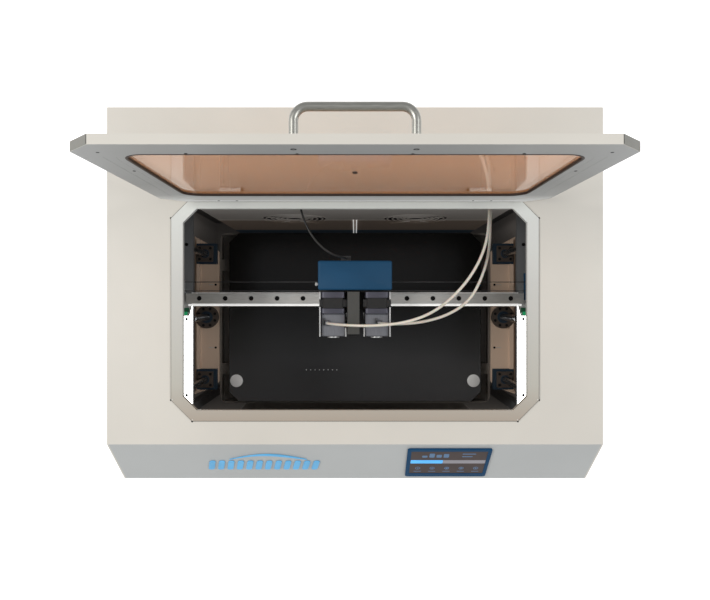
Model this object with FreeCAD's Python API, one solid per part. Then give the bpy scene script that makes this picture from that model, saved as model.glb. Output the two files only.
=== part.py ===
"""Enclosed desktop FDM printer with a hinged top lid, in millimetres.

Frame: +Z up, X to the right and -Y towards the user. While it is modelled, Y is zero on the middle
of the X rail's mounting and Z is zero under the feet. EXPORT_SHIFT_Y then puts the origin under the
middle of the whole box, with the lid standing open.
"""
import FreeCAD
import Part
import math
import os

os.makedirs("parts", exist_ok=True)
V = FreeCAD.Vector

# ---- cabinet -------------------------------------------------------------------------------------
BODY_W = 646.0            # outside width
BODY_H = 608.0            # floor to top face
FRONT_Y = -250.0          # front face
BACK_Y = 251.0            # back face
SLOPE_Y = -188.0          # where the sloped console meets the top face
SLOPE_Z = 546.0           # where it meets the front face
SHEET = 2.0               # shell sheet metal
FOOT_H = 12.0
FOOT_R = 20.0
FOOT_X, FOOT_Y = 270.0, 200.0
HALF_W = BODY_W / 2
IN_X = HALF_W - SHEET
MITRE = SHEET * math.tan(math.radians(22.5))

# ---- chamber -------------------------------------------------------------------------------------
CHAMBER_X = 308.0         # inside half width
CHAMBER_FRONT = -204.0
CHAMBER_BACK = 226.0
FLOOR_Z = 42.0            # top of the chamber floor
WALL_TOP = 604.0
DOOR_HOLE_X = 215.0
DOOR_HOLE_Z = (90.0, 410.0)
DOOR_HOLE_R = 20.0
HEATER_Y = 144.0          # front of the heater box
HEATER_TOP = 429.0
HEATER_X = 246.0
FAN_X, FAN_Z, FAN_SIZE, FAN_D, FAN_BORE = 107.0, 318.0, 120.0, 25.0, 57.0

# ---- top opening and lid -------------------------------------------------------------------------
RIM_OUT = (238.5, -156.9, 133.2, 27.0)    # half width, front, back, corner chamfer
RIM_IN = (223.5, -143.0, 118.6, 18.0)
RIM_H = 2.7
COLLAR = 2.0
COLLAR_DEPTH = 4.0
LID_AXIS_Y, LID_AXIS_Z = 133.5, BODY_H + 10.3
LID_FACE_Y = 126.3        # inner face while the lid stands open
LID_T = 8.7
LID_W, LID_TOP, LID_BOTTOM = 486.0, BODY_H + 302.0, BODY_H + 10.6
LID_CHAMFER = 25.0
WINDOW_X, WINDOW_Z, WINDOW_R = 206.0, (BODY_H + 54.0, BODY_H + 268.0), 22.0
GASKET = 2.5
PANE_BACK = 5.5            # outer face of the pane, from the lid's inner face
REBATE_X, REBATE_Z = WINDOW_X + 10.0, (LID_BOTTOM + 15.0, WINDOW_Z[1] + 8.0)   # round the pane, outside
LINING, LIP = 1.5, 7.0    # inner sheet of the lid, and the gasket lip that laps it
HINGE_X = 162.0
LEAF_Y = (133.6, 147.0)      # fixed hinge leaf, from just behind the rim
BARREL_Y, BARREL_Z = 142.4, BODY_H + 4.2   # friction barrel lying on that leaf
ROD_R, HANDLE_X, HANDLE_OUT, HANDLE_BEND = 4.0, 51.5, 27.0, 12.0

# ---- Z drive and bed -----------------------------------------------------------------------------
SCREW_X, SCREW_Y, SCREW_R = 260.0, -30.0, 6.0
Z_MOTOR = (0.0, 190.0)
ROD_X, ROD_YS, GUIDE_R = 262.0, (81.0, -139.0), 5.0
BED_TOP = 334.0
BED_X, BED_FRONT, BED_BACK, BED_CHAMFER = 220.0, -177.0, 117.0, 17.0
TRAY_X, TRAY_Y, TRAY_Z, TRAY_T = 240.0, (-183.0, 119.0), (300.0, 316.0), 4.0
BRACKET_TOP = 322.0       # of the flat brackets beside the tray
BLOCK_TOP = 330.0         # of the bearing housings and the ball nuts' flanges
BLOCK_X, BLOCK_HALF = (242.0, 278.0), 18.0
BUSH_R, NUT_R, NUT_FLANGE = 9.5, 11.0, 20.0
GAP = 0.4                 # clearance round everything that turns or slides

# ---- Y guides and gantry -------------------------------------------------------------------------
PLATE_TOP, PLATE_T, PLATE_IN = 433.0, 6.0, 257.0
Y_RAIL_X = 290.0
BRACKET_Z = (446.0, 452.0)
RAIL_Y, RAIL_HALF = 2.5, 260.0
PULLEY_X, PULLEY_Y = 286.0, 20.5
BELT_IN, BELT_OUT, BELT_W = 6.25, 7.25, 6.0
X_BELT_Z = 472.0
Y_SHAFT = (-227.0, 462.0)
Y_IDLER = (213.0, 462.0)

# ---- print head ----------------------------------------------------------------------------------
MOTOR_X, MOTOR_R, HEAD_AXIS_Z = 32.2, 17.5, 490.0
HEAD_X = 53.8
FEED_R = 2.0
CABLE_R = 1.5
SPLIT_X, SPLIT_Y = 148.0, 66.0            # where the lines change from the cabinet to the gantry

# ---- console, rear panel and electronics ---------------------------------------------------------
SCREEN_X0, SCREEN_X1 = 69.4, 180.6
SCREEN_S0, SCREEN_S1 = 8.3, 79.0          # up the slope from its front edge
BEZEL_W, BEZEL_H, SCREEN_DEPTH = 4.0, 2.0, 6.0
BADGE_X, BADGE_W, BADGE_S0, BADGE_S1 = -124.5, 154.0, 23.0, 65.0
INLET_X0, INLET_X1, INLET_Z0, INLET_Z1 = -262.0, -214.0, 60.0, 88.0
INLET_DEPTH = 18.0
TUBE_PORTS = [(186.0, 552.0), (195.0, 538.0)]
PORT_R = 6.0
GLAND_X, GLAND_Z = -84.0, 545.0           # where the head's cable leaves the back wall
VENT_COLUMNS, VENT_ROWS, VENT_Z, VENT_PITCH = (-90.0, 0.0, 90.0), 9, 90.0, 10.0
VENT_HALF, VENT_H = 36.0, 4.0
SUPPLY = (-198.0, -28.0, 172.0, 222.0)    # power supply's footprint
BOARD_X, BOARD_Z, BOARD_Y = (60.0, 190.0), (70.0, 170.0), (216.0, 218.0)
ARM_X, ARM_Z, ARM_R = 110.0, 232.0, 11.0  # spool arms

# ---- whole machine -------------------------------------------------------------------------------
DOOR_Y, DOOR_T = -263.0, 10.0
DOOR_X = (-241.5, 240.0)
DOOR_Z = (65.0, 440.0)
DOOR_AXIS = (-246.0, -258.0)
DOOR_WINDOW_X, DOOR_WINDOW_Z = 190.0, (105.0, 400.0)
DOOR_GRIP_X, DOOR_GRIP_Z = 215.0, 252.0
DOOR_HINGES = (105.0, 370.0)
ARM_END = 347.0
FRONT_END = DOOR_Y - HANDLE_OUT - ROD_R
EXPORT_SHIFT_Y = -(ARM_END + FRONT_END) / 2


def box(x0, x1, y0, y1, z0, z1):
    return Part.makeBox(x1 - x0, y1 - y0, z1 - z0, V(x0, y0, z0))


def rod(x, y, z, radius, length, axis=(0, 0, 1)):
    return Part.makeCylinder(radius, length, V(x, y, z), V(*axis))


def ring(x, y, z, outer, inner, length, axis=(0, 0, 1)):
    return rod(x, y, z, outer, length, axis).cut(rod(x, y, z, inner, length, axis))


def fuse(first, *others):
    return first.multiFuse(list(others)).removeSplitter()


def prism(points, direction):
    closed = [V(*p) for p in points] + [V(*points[0])]
    return Part.Face(Part.makePolygon(closed)).extrude(V(*direction))


def mirror_x(shape):
    return shape.mirror(V(0, 0, 0), V(1, 0, 0))


def both(shape):
    """The piece and its mirror image on the other side."""
    return [shape, mirror_x(shape)]


def octagon(half, front, back, chamfer, z0, z1):
    """A rectangle with four cut corners, standing from z0 to z1."""
    points = [(-half + chamfer, front, z0), (half - chamfer, front, z0), (half, front + chamfer, z0),
              (half, back - chamfer, z0), (half - chamfer, back, z0), (-half + chamfer, back, z0),
              (-half, back - chamfer, z0), (-half, front + chamfer, z0)]
    return prism(points, (0, 0, z1 - z0))


def upright(x0, x1, z0, z1, y0, y1, radius):
    """A plate in the XZ plane with rounded corners."""
    plate = box(x0, x1, y0, y1, z0, z1)
    corners = [e for e in plate.Edges if abs(e.tangentAt(e.FirstParameter).y) > 0.9]
    return plate.makeFillet(radius, corners)


def grow(outline, step):
    half, front, back, chamfer = outline
    return half + step, front - step, back + step, chamfer + step * math.tan(math.radians(22.5)) * 1.4


def loop_face(points, radius):
    """The face inside a belt that runs round equal wheels at these points, given anticlockwise."""
    count = len(points)
    runs = []
    for i in range(count):
        a, b = V(*points[i], 0), V(*points[(i + 1) % count], 0)
        along = (b - a).normalize()
        runs.append((a, b, along, V(along.y, -along.x, 0)))
    edges = []
    for i, (a, b, along, out) in enumerate(runs):
        start, end = a + out * radius, b + out * radius
        edges.append(Part.LineSegment(start, end).toShape())
        out_next = runs[(i + 1) % count][3]
        middle = out + out_next
        middle = along if middle.Length < 1e-6 else middle.normalize()
        edges.append(Part.Arc(end, b + middle * radius, b + out_next * radius).toShape())
    return Part.Face(Part.Wire(edges))


def belt(points, inner, outer, width):
    return loop_face(points, outer).cut(loop_face(points, inner)).extrude(V(0, 0, width))


def pulley(radius, flange, width, bore_shaft, below, above):
    """Toothless blank of a flanged belt pulley on its shaft, standing on Z = 0."""
    rim = rod(0, 0, 1.0, radius, width)
    shaft = rod(0, 0, -below, bore_shaft, below + width + 2.0 + above)
    return fuse(rim, rod(0, 0, 0, flange, 1.0), rod(0, 0, width + 1.0, flange, 1.0), shaft)


def moved(shape, x, y, z, rotation=None):
    copy = shape.copy()
    copy.Placement = FreeCAD.Placement(V(x, y, z), rotation or FreeCAD.Rotation()).multiply(copy.Placement)
    return copy


def turned_to_x(shape, x, y, z):
    """Local Z becomes +X, local X becomes +Y and local Y becomes +Z."""
    return moved(shape, x, y, z, FreeCAD.Rotation(V(1, 1, 1), 120))


def tube(points, radius):
    """A line of straight runs joined by arcs as large as the shorter run beside each allows."""
    places = [V(*p) for p in points]
    edges = []
    start = places[0]
    for before, corner, after in zip(places, places[1:], places[2:]):
        run_in, run_out = corner - before, after - corner
        turn = run_in.getAngle(run_out)
        reach = 0.45 * min(run_in.Length, run_out.Length)
        arc_radius = reach / math.tan(turn / 2)
        print("bend radius %.0f" % arc_radius)
        enter = corner - V(run_in).normalize() * reach
        leave = corner + V(run_out).normalize() * reach
        inward = (V(run_out).normalize() - V(run_in).normalize()).normalize()
        centre = corner + inward * (arc_radius / math.cos(turn / 2))
        middle = centre - inward * arc_radius
        edges.append(Part.LineSegment(start, enter).toShape())
        edges.append(Part.Arc(enter, middle, leave).toShape())
        start = leave
    edges.append(Part.LineSegment(start, places[-1]).toShape())
    path = Part.Wire(edges)
    circle = Part.Circle(places[0], places[1] - places[0], radius).toShape()
    line = path.makePipe(Part.Face(Part.Wire(circle)))
    fill = line.Volume / (math.pi * radius ** 2 * path.Length)
    print("tube volume over section times length: %.4f" % fill)
    return line


def motor(side, length, bore=3.0, bore_depth=14.0):
    """A square stepper motor along Z, its shaft bore at the Z = 0 end."""
    half = side / 2
    body = box(-half, half, -half, half, 0, length)
    corners = [e for e in body.Edges if abs(e.tangentAt(e.FirstParameter).z) > 0.9]
    return body.makeChamfer(side * 0.1, corners).cut(rod(0, 0, 0, bore, bore_depth))


def u_handle(span, out, bend):
    """A bent rod handle: feet on Y = 0 at X = +-span/2, bar at Y = out."""
    half = span / 2
    corner = bend * (1 - math.sqrt(0.5))
    edges = []
    points = [V(-half, 0, 0), V(-half, out - bend, 0), V(-half + corner, out - corner, 0),
              V(-half + bend, out, 0)]
    edges.append(Part.LineSegment(points[0], points[1]).toShape())
    edges.append(Part.Arc(points[1], points[2], points[3]).toShape())
    edges.append(Part.LineSegment(points[3], V(half - bend, out, 0)).toShape())
    points = [V(half - bend, out, 0), V(half - corner, out - corner, 0), V(half, out - bend, 0),
              V(half, 0, 0)]
    edges.append(Part.Arc(points[0], points[1], points[2]).toShape())
    edges.append(Part.LineSegment(points[2], points[3]).toShape())
    circle = Part.Circle(V(-half, 0, 0), V(0, 1, 0), ROD_R).toShape()
    return Part.Wire(edges).makePipe(Part.Face(Part.Wire(circle)))


def save(name, shapes):
    """Write one node: its pieces stay separate solids, moved to the part's own origin."""
    if not isinstance(shapes, list):
        shapes = [shapes]
    solids = [solid for shape in shapes for solid in shape.Solids]
    placed = Part.Compound(solids)
    placed.translate(V(0, EXPORT_SHIFT_Y, 0))
    for solid in placed.Solids:
        if not solid.isValid() or solid.Volume <= 0:
            print("check the solid in", name)
    (placed.Solids[0] if len(solids) == 1 else placed).exportStep("parts/%s.step" % name)


def cabinet():
    save("base_pan", box(-IN_X, IN_X, FRONT_Y + SHEET, BACK_Y - SHEET, FOOT_H, FOOT_H + SHEET))
    save("feet", [Part.makeCone(FOOT_R - 3, FOOT_R, FOOT_H, V(x, y, 0))
                  for x in (-FOOT_X, FOOT_X) for y in (-FOOT_Y, FOOT_Y)])
    side = prism([(IN_X, FRONT_Y, FOOT_H), (IN_X, FRONT_Y, SLOPE_Z), (IN_X, SLOPE_Y, BODY_H),
                  (IN_X, BACK_Y, BODY_H), (IN_X, BACK_Y, FOOT_H)], (SHEET, 0, 0))
    save("side_panels", both(side))

    top = prism([(-IN_X, SLOPE_Y, BODY_H), (-IN_X, BACK_Y, BODY_H), (-IN_X, BACK_Y, BODY_H - SHEET),
                 (-IN_X, SLOPE_Y + MITRE, BODY_H - SHEET)], (2 * IN_X, 0, 0))
    save("top_panel", top.cut(octagon(*grow(RIM_IN, COLLAR), BODY_H - 5, BODY_H + 1)))

    console = prism([(-IN_X, FRONT_Y, SLOPE_Z), (-IN_X, SLOPE_Y, BODY_H),
                     (-IN_X, SLOPE_Y + MITRE, BODY_H - SHEET),
                     (-IN_X, FRONT_Y + SHEET, SLOPE_Z - MITRE)], (2 * IN_X, 0, 0))
    save("console_panel", console.cut(screen_block(-4, 4)))

    front = prism([(-IN_X, FRONT_Y, FOOT_H), (-IN_X, FRONT_Y, SLOPE_Z),
                   (-IN_X, FRONT_Y + SHEET, SLOPE_Z - MITRE), (-IN_X, FRONT_Y + SHEET, FOOT_H)],
                  (2 * IN_X, 0, 0))
    hole = upright(-DOOR_HOLE_X, DOOR_HOLE_X, *DOOR_HOLE_Z, FRONT_Y - 1, FRONT_Y + SHEET + 1, DOOR_HOLE_R)
    save("front_panel", front.cut(hole))

    rear = box(-IN_X, IN_X, BACK_Y - SHEET, BACK_Y, FOOT_H, BODY_H - SHEET)
    cuts = [box(INLET_X0, INLET_X1, BACK_Y - 5, BACK_Y + 5, INLET_Z0, INLET_Z1)]
    for x, z in TUBE_PORTS:
        cuts.append(rod(x, BACK_Y - 5, z, PORT_R, 10, (0, 1, 0)))
    for x in VENT_COLUMNS:
        for row in range(VENT_ROWS):
            z = VENT_Z + VENT_PITCH * row
            cuts.append(box(x - VENT_HALF, x + VENT_HALF, BACK_Y - 5, BACK_Y + 5, z, z + VENT_H))
    save("rear_panel", rear.cut(Part.Compound(cuts)))

    flat = octagon(*RIM_OUT, BODY_H, BODY_H + RIM_H).cut(octagon(*RIM_IN, BODY_H - 1, BODY_H + 9))
    collar = octagon(*grow(RIM_IN, COLLAR), BODY_H - COLLAR_DEPTH, BODY_H).cut(
        octagon(*RIM_IN, BODY_H - 30, BODY_H + 9))
    save("opening_rim", fuse(flat, collar))


def on_slope(x0, x1, s0, s1, n0, n1):
    """A block on the sloped console: s up the slope from the front edge, n out of its face."""
    up = V(0, SLOPE_Y - FRONT_Y, BODY_H - SLOPE_Z).normalize()
    out = V(0, -up.z, up.y)
    base = V(0, FRONT_Y, SLOPE_Z)
    corners = [base + up * s + out * n for s, n in ((s0, n0), (s1, n0), (s1, n1), (s0, n1))]
    return prism([(x0, c.y, c.z) for c in corners], (x1 - x0, 0, 0))


def screen_block(n0, n1):
    """The part of the console inside the screen's bezel."""
    return on_slope(SCREEN_X0 + BEZEL_W, SCREEN_X1 - BEZEL_W, SCREEN_S0 + BEZEL_W, SCREEN_S1 - BEZEL_W,
                    n0, n1)


def console_pieces():
    bezel = on_slope(SCREEN_X0, SCREEN_X1, SCREEN_S0, SCREEN_S1, 0, BEZEL_H)
    save("touch_screen", [bezel.cut(screen_block(-9, 9)), screen_block(-SCREEN_DEPTH, BEZEL_H - 0.4)])
    save("badge", on_slope(BADGE_X - BADGE_W / 2, BADGE_X + BADGE_W / 2, BADGE_S0, BADGE_S1, 0, 1.0))


def chamber():
    front = box(-CHAMBER_X, CHAMBER_X, CHAMBER_FRONT - SHEET, CHAMBER_FRONT, FLOOR_Z, WALL_TOP)
    front = front.cut(upright(-DOOR_HOLE_X, DOOR_HOLE_X, *DOOR_HOLE_Z, CHAMBER_FRONT - 5, CHAMBER_FRONT + 5,
                              DOOR_HOLE_R))
    slot = box(Y_RAIL_X - 12, Y_RAIL_X + 4, CHAMBER_FRONT - 5, CHAMBER_FRONT + 5, 451, 474)
    front = front.cut(Part.Compound(both(slot)))
    back = box(-CHAMBER_X, CHAMBER_X, CHAMBER_BACK, CHAMBER_BACK + SHEET, FLOOR_Z, WALL_TOP)
    ports = [rod(x, CHAMBER_BACK - 5, z, PORT_R, 10, (0, 1, 0)) for x, z in TUBE_PORTS]
    back = back.cut(Part.Compound(ports))
    side = box(CHAMBER_X, CHAMBER_X + SHEET, CHAMBER_FRONT - SHEET, CHAMBER_BACK + SHEET, FLOOR_Z, WALL_TOP)
    tunnel_x, tunnel_z = DOOR_HOLE_X + SHEET, (DOOR_HOLE_Z[0] - SHEET, DOOR_HOLE_Z[1] + SHEET)
    tunnel = upright(-tunnel_x, tunnel_x, *tunnel_z, FRONT_Y + SHEET, CHAMBER_FRONT - SHEET,
                     DOOR_HOLE_R + SHEET)
    tunnel = tunnel.cut(upright(-DOOR_HOLE_X, DOOR_HOLE_X, *DOOR_HOLE_Z, FRONT_Y, CHAMBER_FRONT, DOOR_HOLE_R))
    save("door_tunnel", tunnel)

    floor = box(-CHAMBER_X, CHAMBER_X, CHAMBER_FRONT, CHAMBER_BACK, FLOOR_Z - SHEET, FLOOR_Z)
    holes = [rod(x, y, 0, 7.0, 60) for x, y in ((-SCREW_X, SCREW_Y), (SCREW_X, SCREW_Y), Z_MOTOR)]
    slope_sum = BODY_H - SLOPE_Y - 8 * math.sqrt(2)
    above = prism([(-400, -300, slope_sum - 300), (-400, -150, slope_sum - 150), (-400, -150, 800),
                   (-400, -300, 800)], (800, 0, 0))
    save("chamber_walls", [front.cut(above), back, floor.cut(Part.Compound(holes))] + both(side.cut(above)))

    face = box(-HEATER_X, HEATER_X, HEATER_Y, HEATER_Y + SHEET, FLOOR_Z, HEATER_TOP)
    ledge = box(-HEATER_X, HEATER_X, HEATER_Y, CHAMBER_BACK, HEATER_TOP - SHEET, HEATER_TOP)
    cheek = box(HEATER_X - SHEET, HEATER_X, HEATER_Y, CHAMBER_BACK, FLOOR_Z, HEATER_TOP)
    cover = fuse(face, ledge, *both(cheek))
    for x in (-FAN_X, FAN_X):
        cover = cover.cut(rod(x, HEATER_Y - 5, FAN_Z, FAN_BORE, 10, (0, 1, 0)))
    frames = []
    half = FAN_SIZE / 2
    for x in (-FAN_X, FAN_X):
        y = HEATER_Y + SHEET
        frame = upright(x - half, x + half, FAN_Z - half, FAN_Z + half, y, y + FAN_D, 8)
        frame = frame.cut(rod(x, y, FAN_Z, FAN_BORE, FAN_D - 4, (0, 1, 0)))
        window = ring(x, y + FAN_D - 5, FAN_Z, FAN_BORE, 24, 10, (0, 1, 0))
        spokes = [box(x - half, x + half, y + FAN_D - 5, y + FAN_D, FAN_Z - 3, FAN_Z + 3),
                  box(x - 3, x + 3, y + FAN_D - 5, y + FAN_D, FAN_Z - half, FAN_Z + half)]
        frames.append(frame.cut(window.cut(Part.Compound(spokes))))
    save("heater_cover", cover)
    save("fan_frames", frames)
    for name, x in (("fan_rotor_left", -FAN_X), ("fan_rotor_right", FAN_X)):
        y = HEATER_Y + SHEET + 3
        hub = rod(x, y, FAN_Z, 20, FAN_D - 8, (0, 1, 0))
        blades = []
        for i in range(7):
            blade = box(15, 54, -1, 1, -7, 7)
            blade.rotate(V(0, 0, 0), V(1, 0, 0), 50)
            blade.rotate(V(0, 0, 0), V(0, 1, 0), i * 360.0 / 7)
            blades.append(moved(blade, x, y + 8, FAN_Z))
        save(name, fuse(hub, *blades))

    post = box(CHAMBER_X - 16, CHAMBER_X, 0, 16, FLOOR_Z, PLATE_TOP - PLATE_T)
    posts = both(moved(post, 0, CHAMBER_FRONT, 0)) + both(moved(post, 0, 170, 0))
    return posts


def electronics():
    supply = box(*SUPPLY, FLOOR_Z, FLOOR_Z + 115)
    board = box(*BOARD_X, *BOARD_Y, *BOARD_Z)
    corners = [(x, z) for x in (BOARD_X[0] + 6, BOARD_X[1] - 6) for z in (BOARD_Z[0] + 6, BOARD_Z[1] - 6)]
    spacers = [rod(x, BOARD_Y[1], z, 3, CHAMBER_BACK - BOARD_Y[1], (0, 1, 0)) for x, z in corners]
    save("electronics", [supply, board] + spacers)
    y = BACK_Y
    flange = box(INLET_X0 - 3, INLET_X1 + 3, y, y + 2, INLET_Z0 - 3, INLET_Z1 + 3)
    body = box(INLET_X0, INLET_X1, y - INLET_DEPTH, y, INLET_Z0, INLET_Z1)
    module = fuse(flange, body)
    module = module.cut(box(INLET_X0 + 3, INLET_X0 + 29, y - 14, y + 5, INLET_Z0 + 4, INLET_Z1 - 4))
    module = module.cut(box(INLET_X1 - 15, INLET_X1 - 2, y - 14.5, y + 5, INLET_Z0 + 3, INLET_Z1 - 3))
    pins = [box(INLET_X0 + 8 + 7 * i, INLET_X0 + 10 + 7 * i, y - 14, y - 3, INLET_Z0 + 11, INLET_Z0 + 16)
            for i in range(3)]
    save("power_inlet", [module] + pins)
    x, z = INLET_X1 - 8.5, (INLET_Z0 + INLET_Z1) / 2
    rocker = rod(x - 5.5, y - 4.0, z, 9.0, 11, (1, 0, 0))
    keep = box(x - 10, x + 10, y - 10, y + 12, z - 9.5, z + 9.5)
    rocker = rocker.common(keep).cut(rod(x - 9, y + 8.5, z, 5.5, 18, (1, 0, 0)))
    rocker.rotate(V(x, y - 4.0, z), V(1, 0, 0), -8)
    save("power_switch", rocker)

    arms = []
    for x in (-ARM_X, ARM_X):
        base = rod(x, BACK_Y, ARM_Z, ARM_R + 15, 4, (0, 1, 0))
        end = rod(x, ARM_END - 4, ARM_Z, ARM_R + 7, 4, (0, 1, 0))
        arms.append(fuse(base, rod(x, BACK_Y, ARM_Z, ARM_R, ARM_END - BACK_Y - 4, (0, 1, 0)), end))
    save("spool_arms", arms)
    fittings = []
    for x, z in TUBE_PORTS:
        body = fuse(rod(x, 220, z, 5.8, 36, (0, 1, 0)), rod(x, BACK_Y, z, 6.8, 3, (0, 1, 0)),
                    rod(x, 221, z, 6.8, 5, (0, 1, 0)))
        fittings.append(body)
    gland = fuse(rod(GLAND_X, 221, GLAND_Z, 6, 5, (0, 1, 0)), rod(GLAND_X, 217, GLAND_Z, 4, 4, (0, 1, 0)))
    save("line_fittings", fittings + [gland])


def y_guides(posts):
    plate = box(PLATE_IN, CHAMBER_X, CHAMBER_FRONT, CHAMBER_BACK, PLATE_TOP - PLATE_T, PLATE_TOP)
    holes = [rod(267, y, 400, 2.6, 50) for y in (88, -151, 160)]
    plates = both(plate.cut(Part.Compound(holes)))
    save("light_bars", both(box(PLATE_IN + 0.5, 270, -168, -8, PLATE_TOP, PLATE_TOP + 5)))
    rail = box(Y_RAIL_X - 6, Y_RAIL_X + 6, -172, 200, PLATE_TOP, PLATE_TOP + 8)
    save("y_rails", both(rail))

    y0, z0 = Y_SHAFT
    y1, z1 = Y_IDLER
    loop = belt([(y0, z0), (y1, z1)], BELT_IN, BELT_OUT, BELT_W)
    z_points = [(-SCREW_X, SCREW_Y), (SCREW_X, SCREW_Y), Z_MOTOR]
    z_loop = moved(belt(z_points, 10.25, 11.45, 8), 0, 0, 24)
    side_loop = turned_to_x(loop, PULLEY_X - BELT_W / 2, 0, 0)
    save("drive_belts", both(side_loop) + [z_loop])

    z_motor = moved(motor(42.3, 48), *Z_MOTOR, FLOOR_Z)
    y_motor = turned_to_x(motor(35.2, 36, bore_depth=40), 40, y0, z0)
    save("drive_motors", [z_motor, y_motor])

    wheel = pulley(5.9, 8.2, 7.2, 2.5, 0, 0)
    left = turned_to_x(wheel, -PULLEY_X - 4.6, y0, z0)
    right = turned_to_x(wheel, PULLEY_X - 4.6, y0, z0)
    shaft = rod(-PULLEY_X - 4, y0, z0, 2.5, 2 * PULLEY_X + 8, (1, 0, 0))
    save("y_drive_shaft", fuse(left, right, shaft))
    idlers = []
    for x in (-PULLEY_X, PULLEY_X):
        wheel_at = turned_to_x(wheel, x - 4.6, y1, z1)
        idlers.append(wheel_at.cut(rod(x - 9, y1, z1, 1.9, 18, (1, 0, 0))))
    save("y_idler_pulleys", idlers)
    holders = []
    for x in (-PULLEY_X, PULLEY_X):
        fork = box(x - 8, x + 8, y1 + 9, CHAMBER_BACK, PLATE_TOP, PLATE_TOP + 40)
        cheeks = [box(x - 8, x - 5.4, y1 - 4, y1 + 9, PLATE_TOP + 24, PLATE_TOP + 34),
                  box(x + 5.4, x + 8, y1 - 4, y1 + 9, PLATE_TOP + 24, PLATE_TOP + 34)]
        pin = rod(x - 8, y1, z1, 1.5, 16, (1, 0, 0))
        holders.append(fuse(fork, *cheeks, pin))
    save("guide_frame", plates + posts + holders)


def gantry():
    beam = box(-254, 254, -8, 12, 431, 452)
    beam = beam.cut(box(-260, 260, -5, 9, 434, 447))
    save("x_beam", beam)
    rail = box(-RAIL_HALF, RAIL_HALF, RAIL_Y - 7.5, RAIL_Y + 7.5, 452, 462)
    counterbores = [rod(40.0 * i, RAIL_Y, 457, 3.75, 6) for i in range(-6, 7)]
    groove = prism([(-300, RAIL_Y + 7.5, 455.5), (-300, RAIL_Y + 6.3, 457), (-300, RAIL_Y + 7.5, 458.5)],
                   (600, 0, 0))
    other_groove = groove.mirror(V(0, RAIL_Y, 0), V(0, 1, 0))
    save("x_rail", rail.cut(Part.Compound(counterbores + [groove, other_groove])))

    low, high = BRACKET_Z
    outline = [(254, 9, low), (266, 9, low), (266, 30, low), (306, 30, low), (306, -25, low),
               (259, -25, low), (254.5, -8, low)]
    plate = prism(outline, (0, 0, high - low))
    leg = box(302, 306, -0.5, 41.5, BRACKET_Z[1], 484)
    foot = box(302, 306, -0.5, 41.5, BRACKET_Z[0], BRACKET_Z[1])
    bridge = box(264, 306, -0.5, 41.5, 480.5, 484).cut(rod(PULLEY_X, PULLEY_Y, 470, 4.0, 30))
    right = fuse(plate, leg, foot, bridge)
    pin = rod(PULLEY_X, PULLEY_Y, 470.5, 1.5, 13.5)
    clamp = box(276, 282.4, -18, -6, BRACKET_Z[1], 472)
    idler_side = mirror_x(fuse(right, pin, rod(PULLEY_X, PULLEY_Y, 480.5, 4.5, 3.5)))
    save("beam_brackets", [right, idler_side] + both(clamp))
    block = box(Y_RAIL_X - 13.5, Y_RAIL_X + 13.5, -20, 25, 435, 446)
    block = block.cut(box(Y_RAIL_X - 6 - GAP, Y_RAIL_X + 6 + GAP, -30, 40, 430, PLATE_TOP + 8 + GAP))
    save("y_carriages", both(block))

    loop = belt([(-PULLEY_X, PULLEY_Y), (PULLEY_X, PULLEY_Y)], BELT_IN, BELT_OUT, BELT_W)
    save("x_belt", moved(loop, 0, 0, X_BELT_Z))
    shroud = box(262, 264, -0.5, 41.5, BRACKET_Z[1], 484).cut(box(260, 266, 10, 31, 469, 481))
    save("x_motor", [moved(motor(42.0, 34), PULLEY_X, PULLEY_Y, 484), shroud])
    wheel = pulley(5.9, 8.2, 7.0, 2.5, 0, 0)
    at_z = X_BELT_Z - 1.5
    drive = fuse(moved(wheel, PULLEY_X, PULLEY_Y, at_z), rod(PULLEY_X, PULLEY_Y, at_z, 2.5, 26))
    save("x_drive_pulley", drive)
    bore = rod(-PULLEY_X, PULLEY_Y, 400, 1.9, 99)
    save("x_idler_pulley", moved(wheel, -PULLEY_X, PULLEY_Y, at_z).cut(bore))


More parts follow.
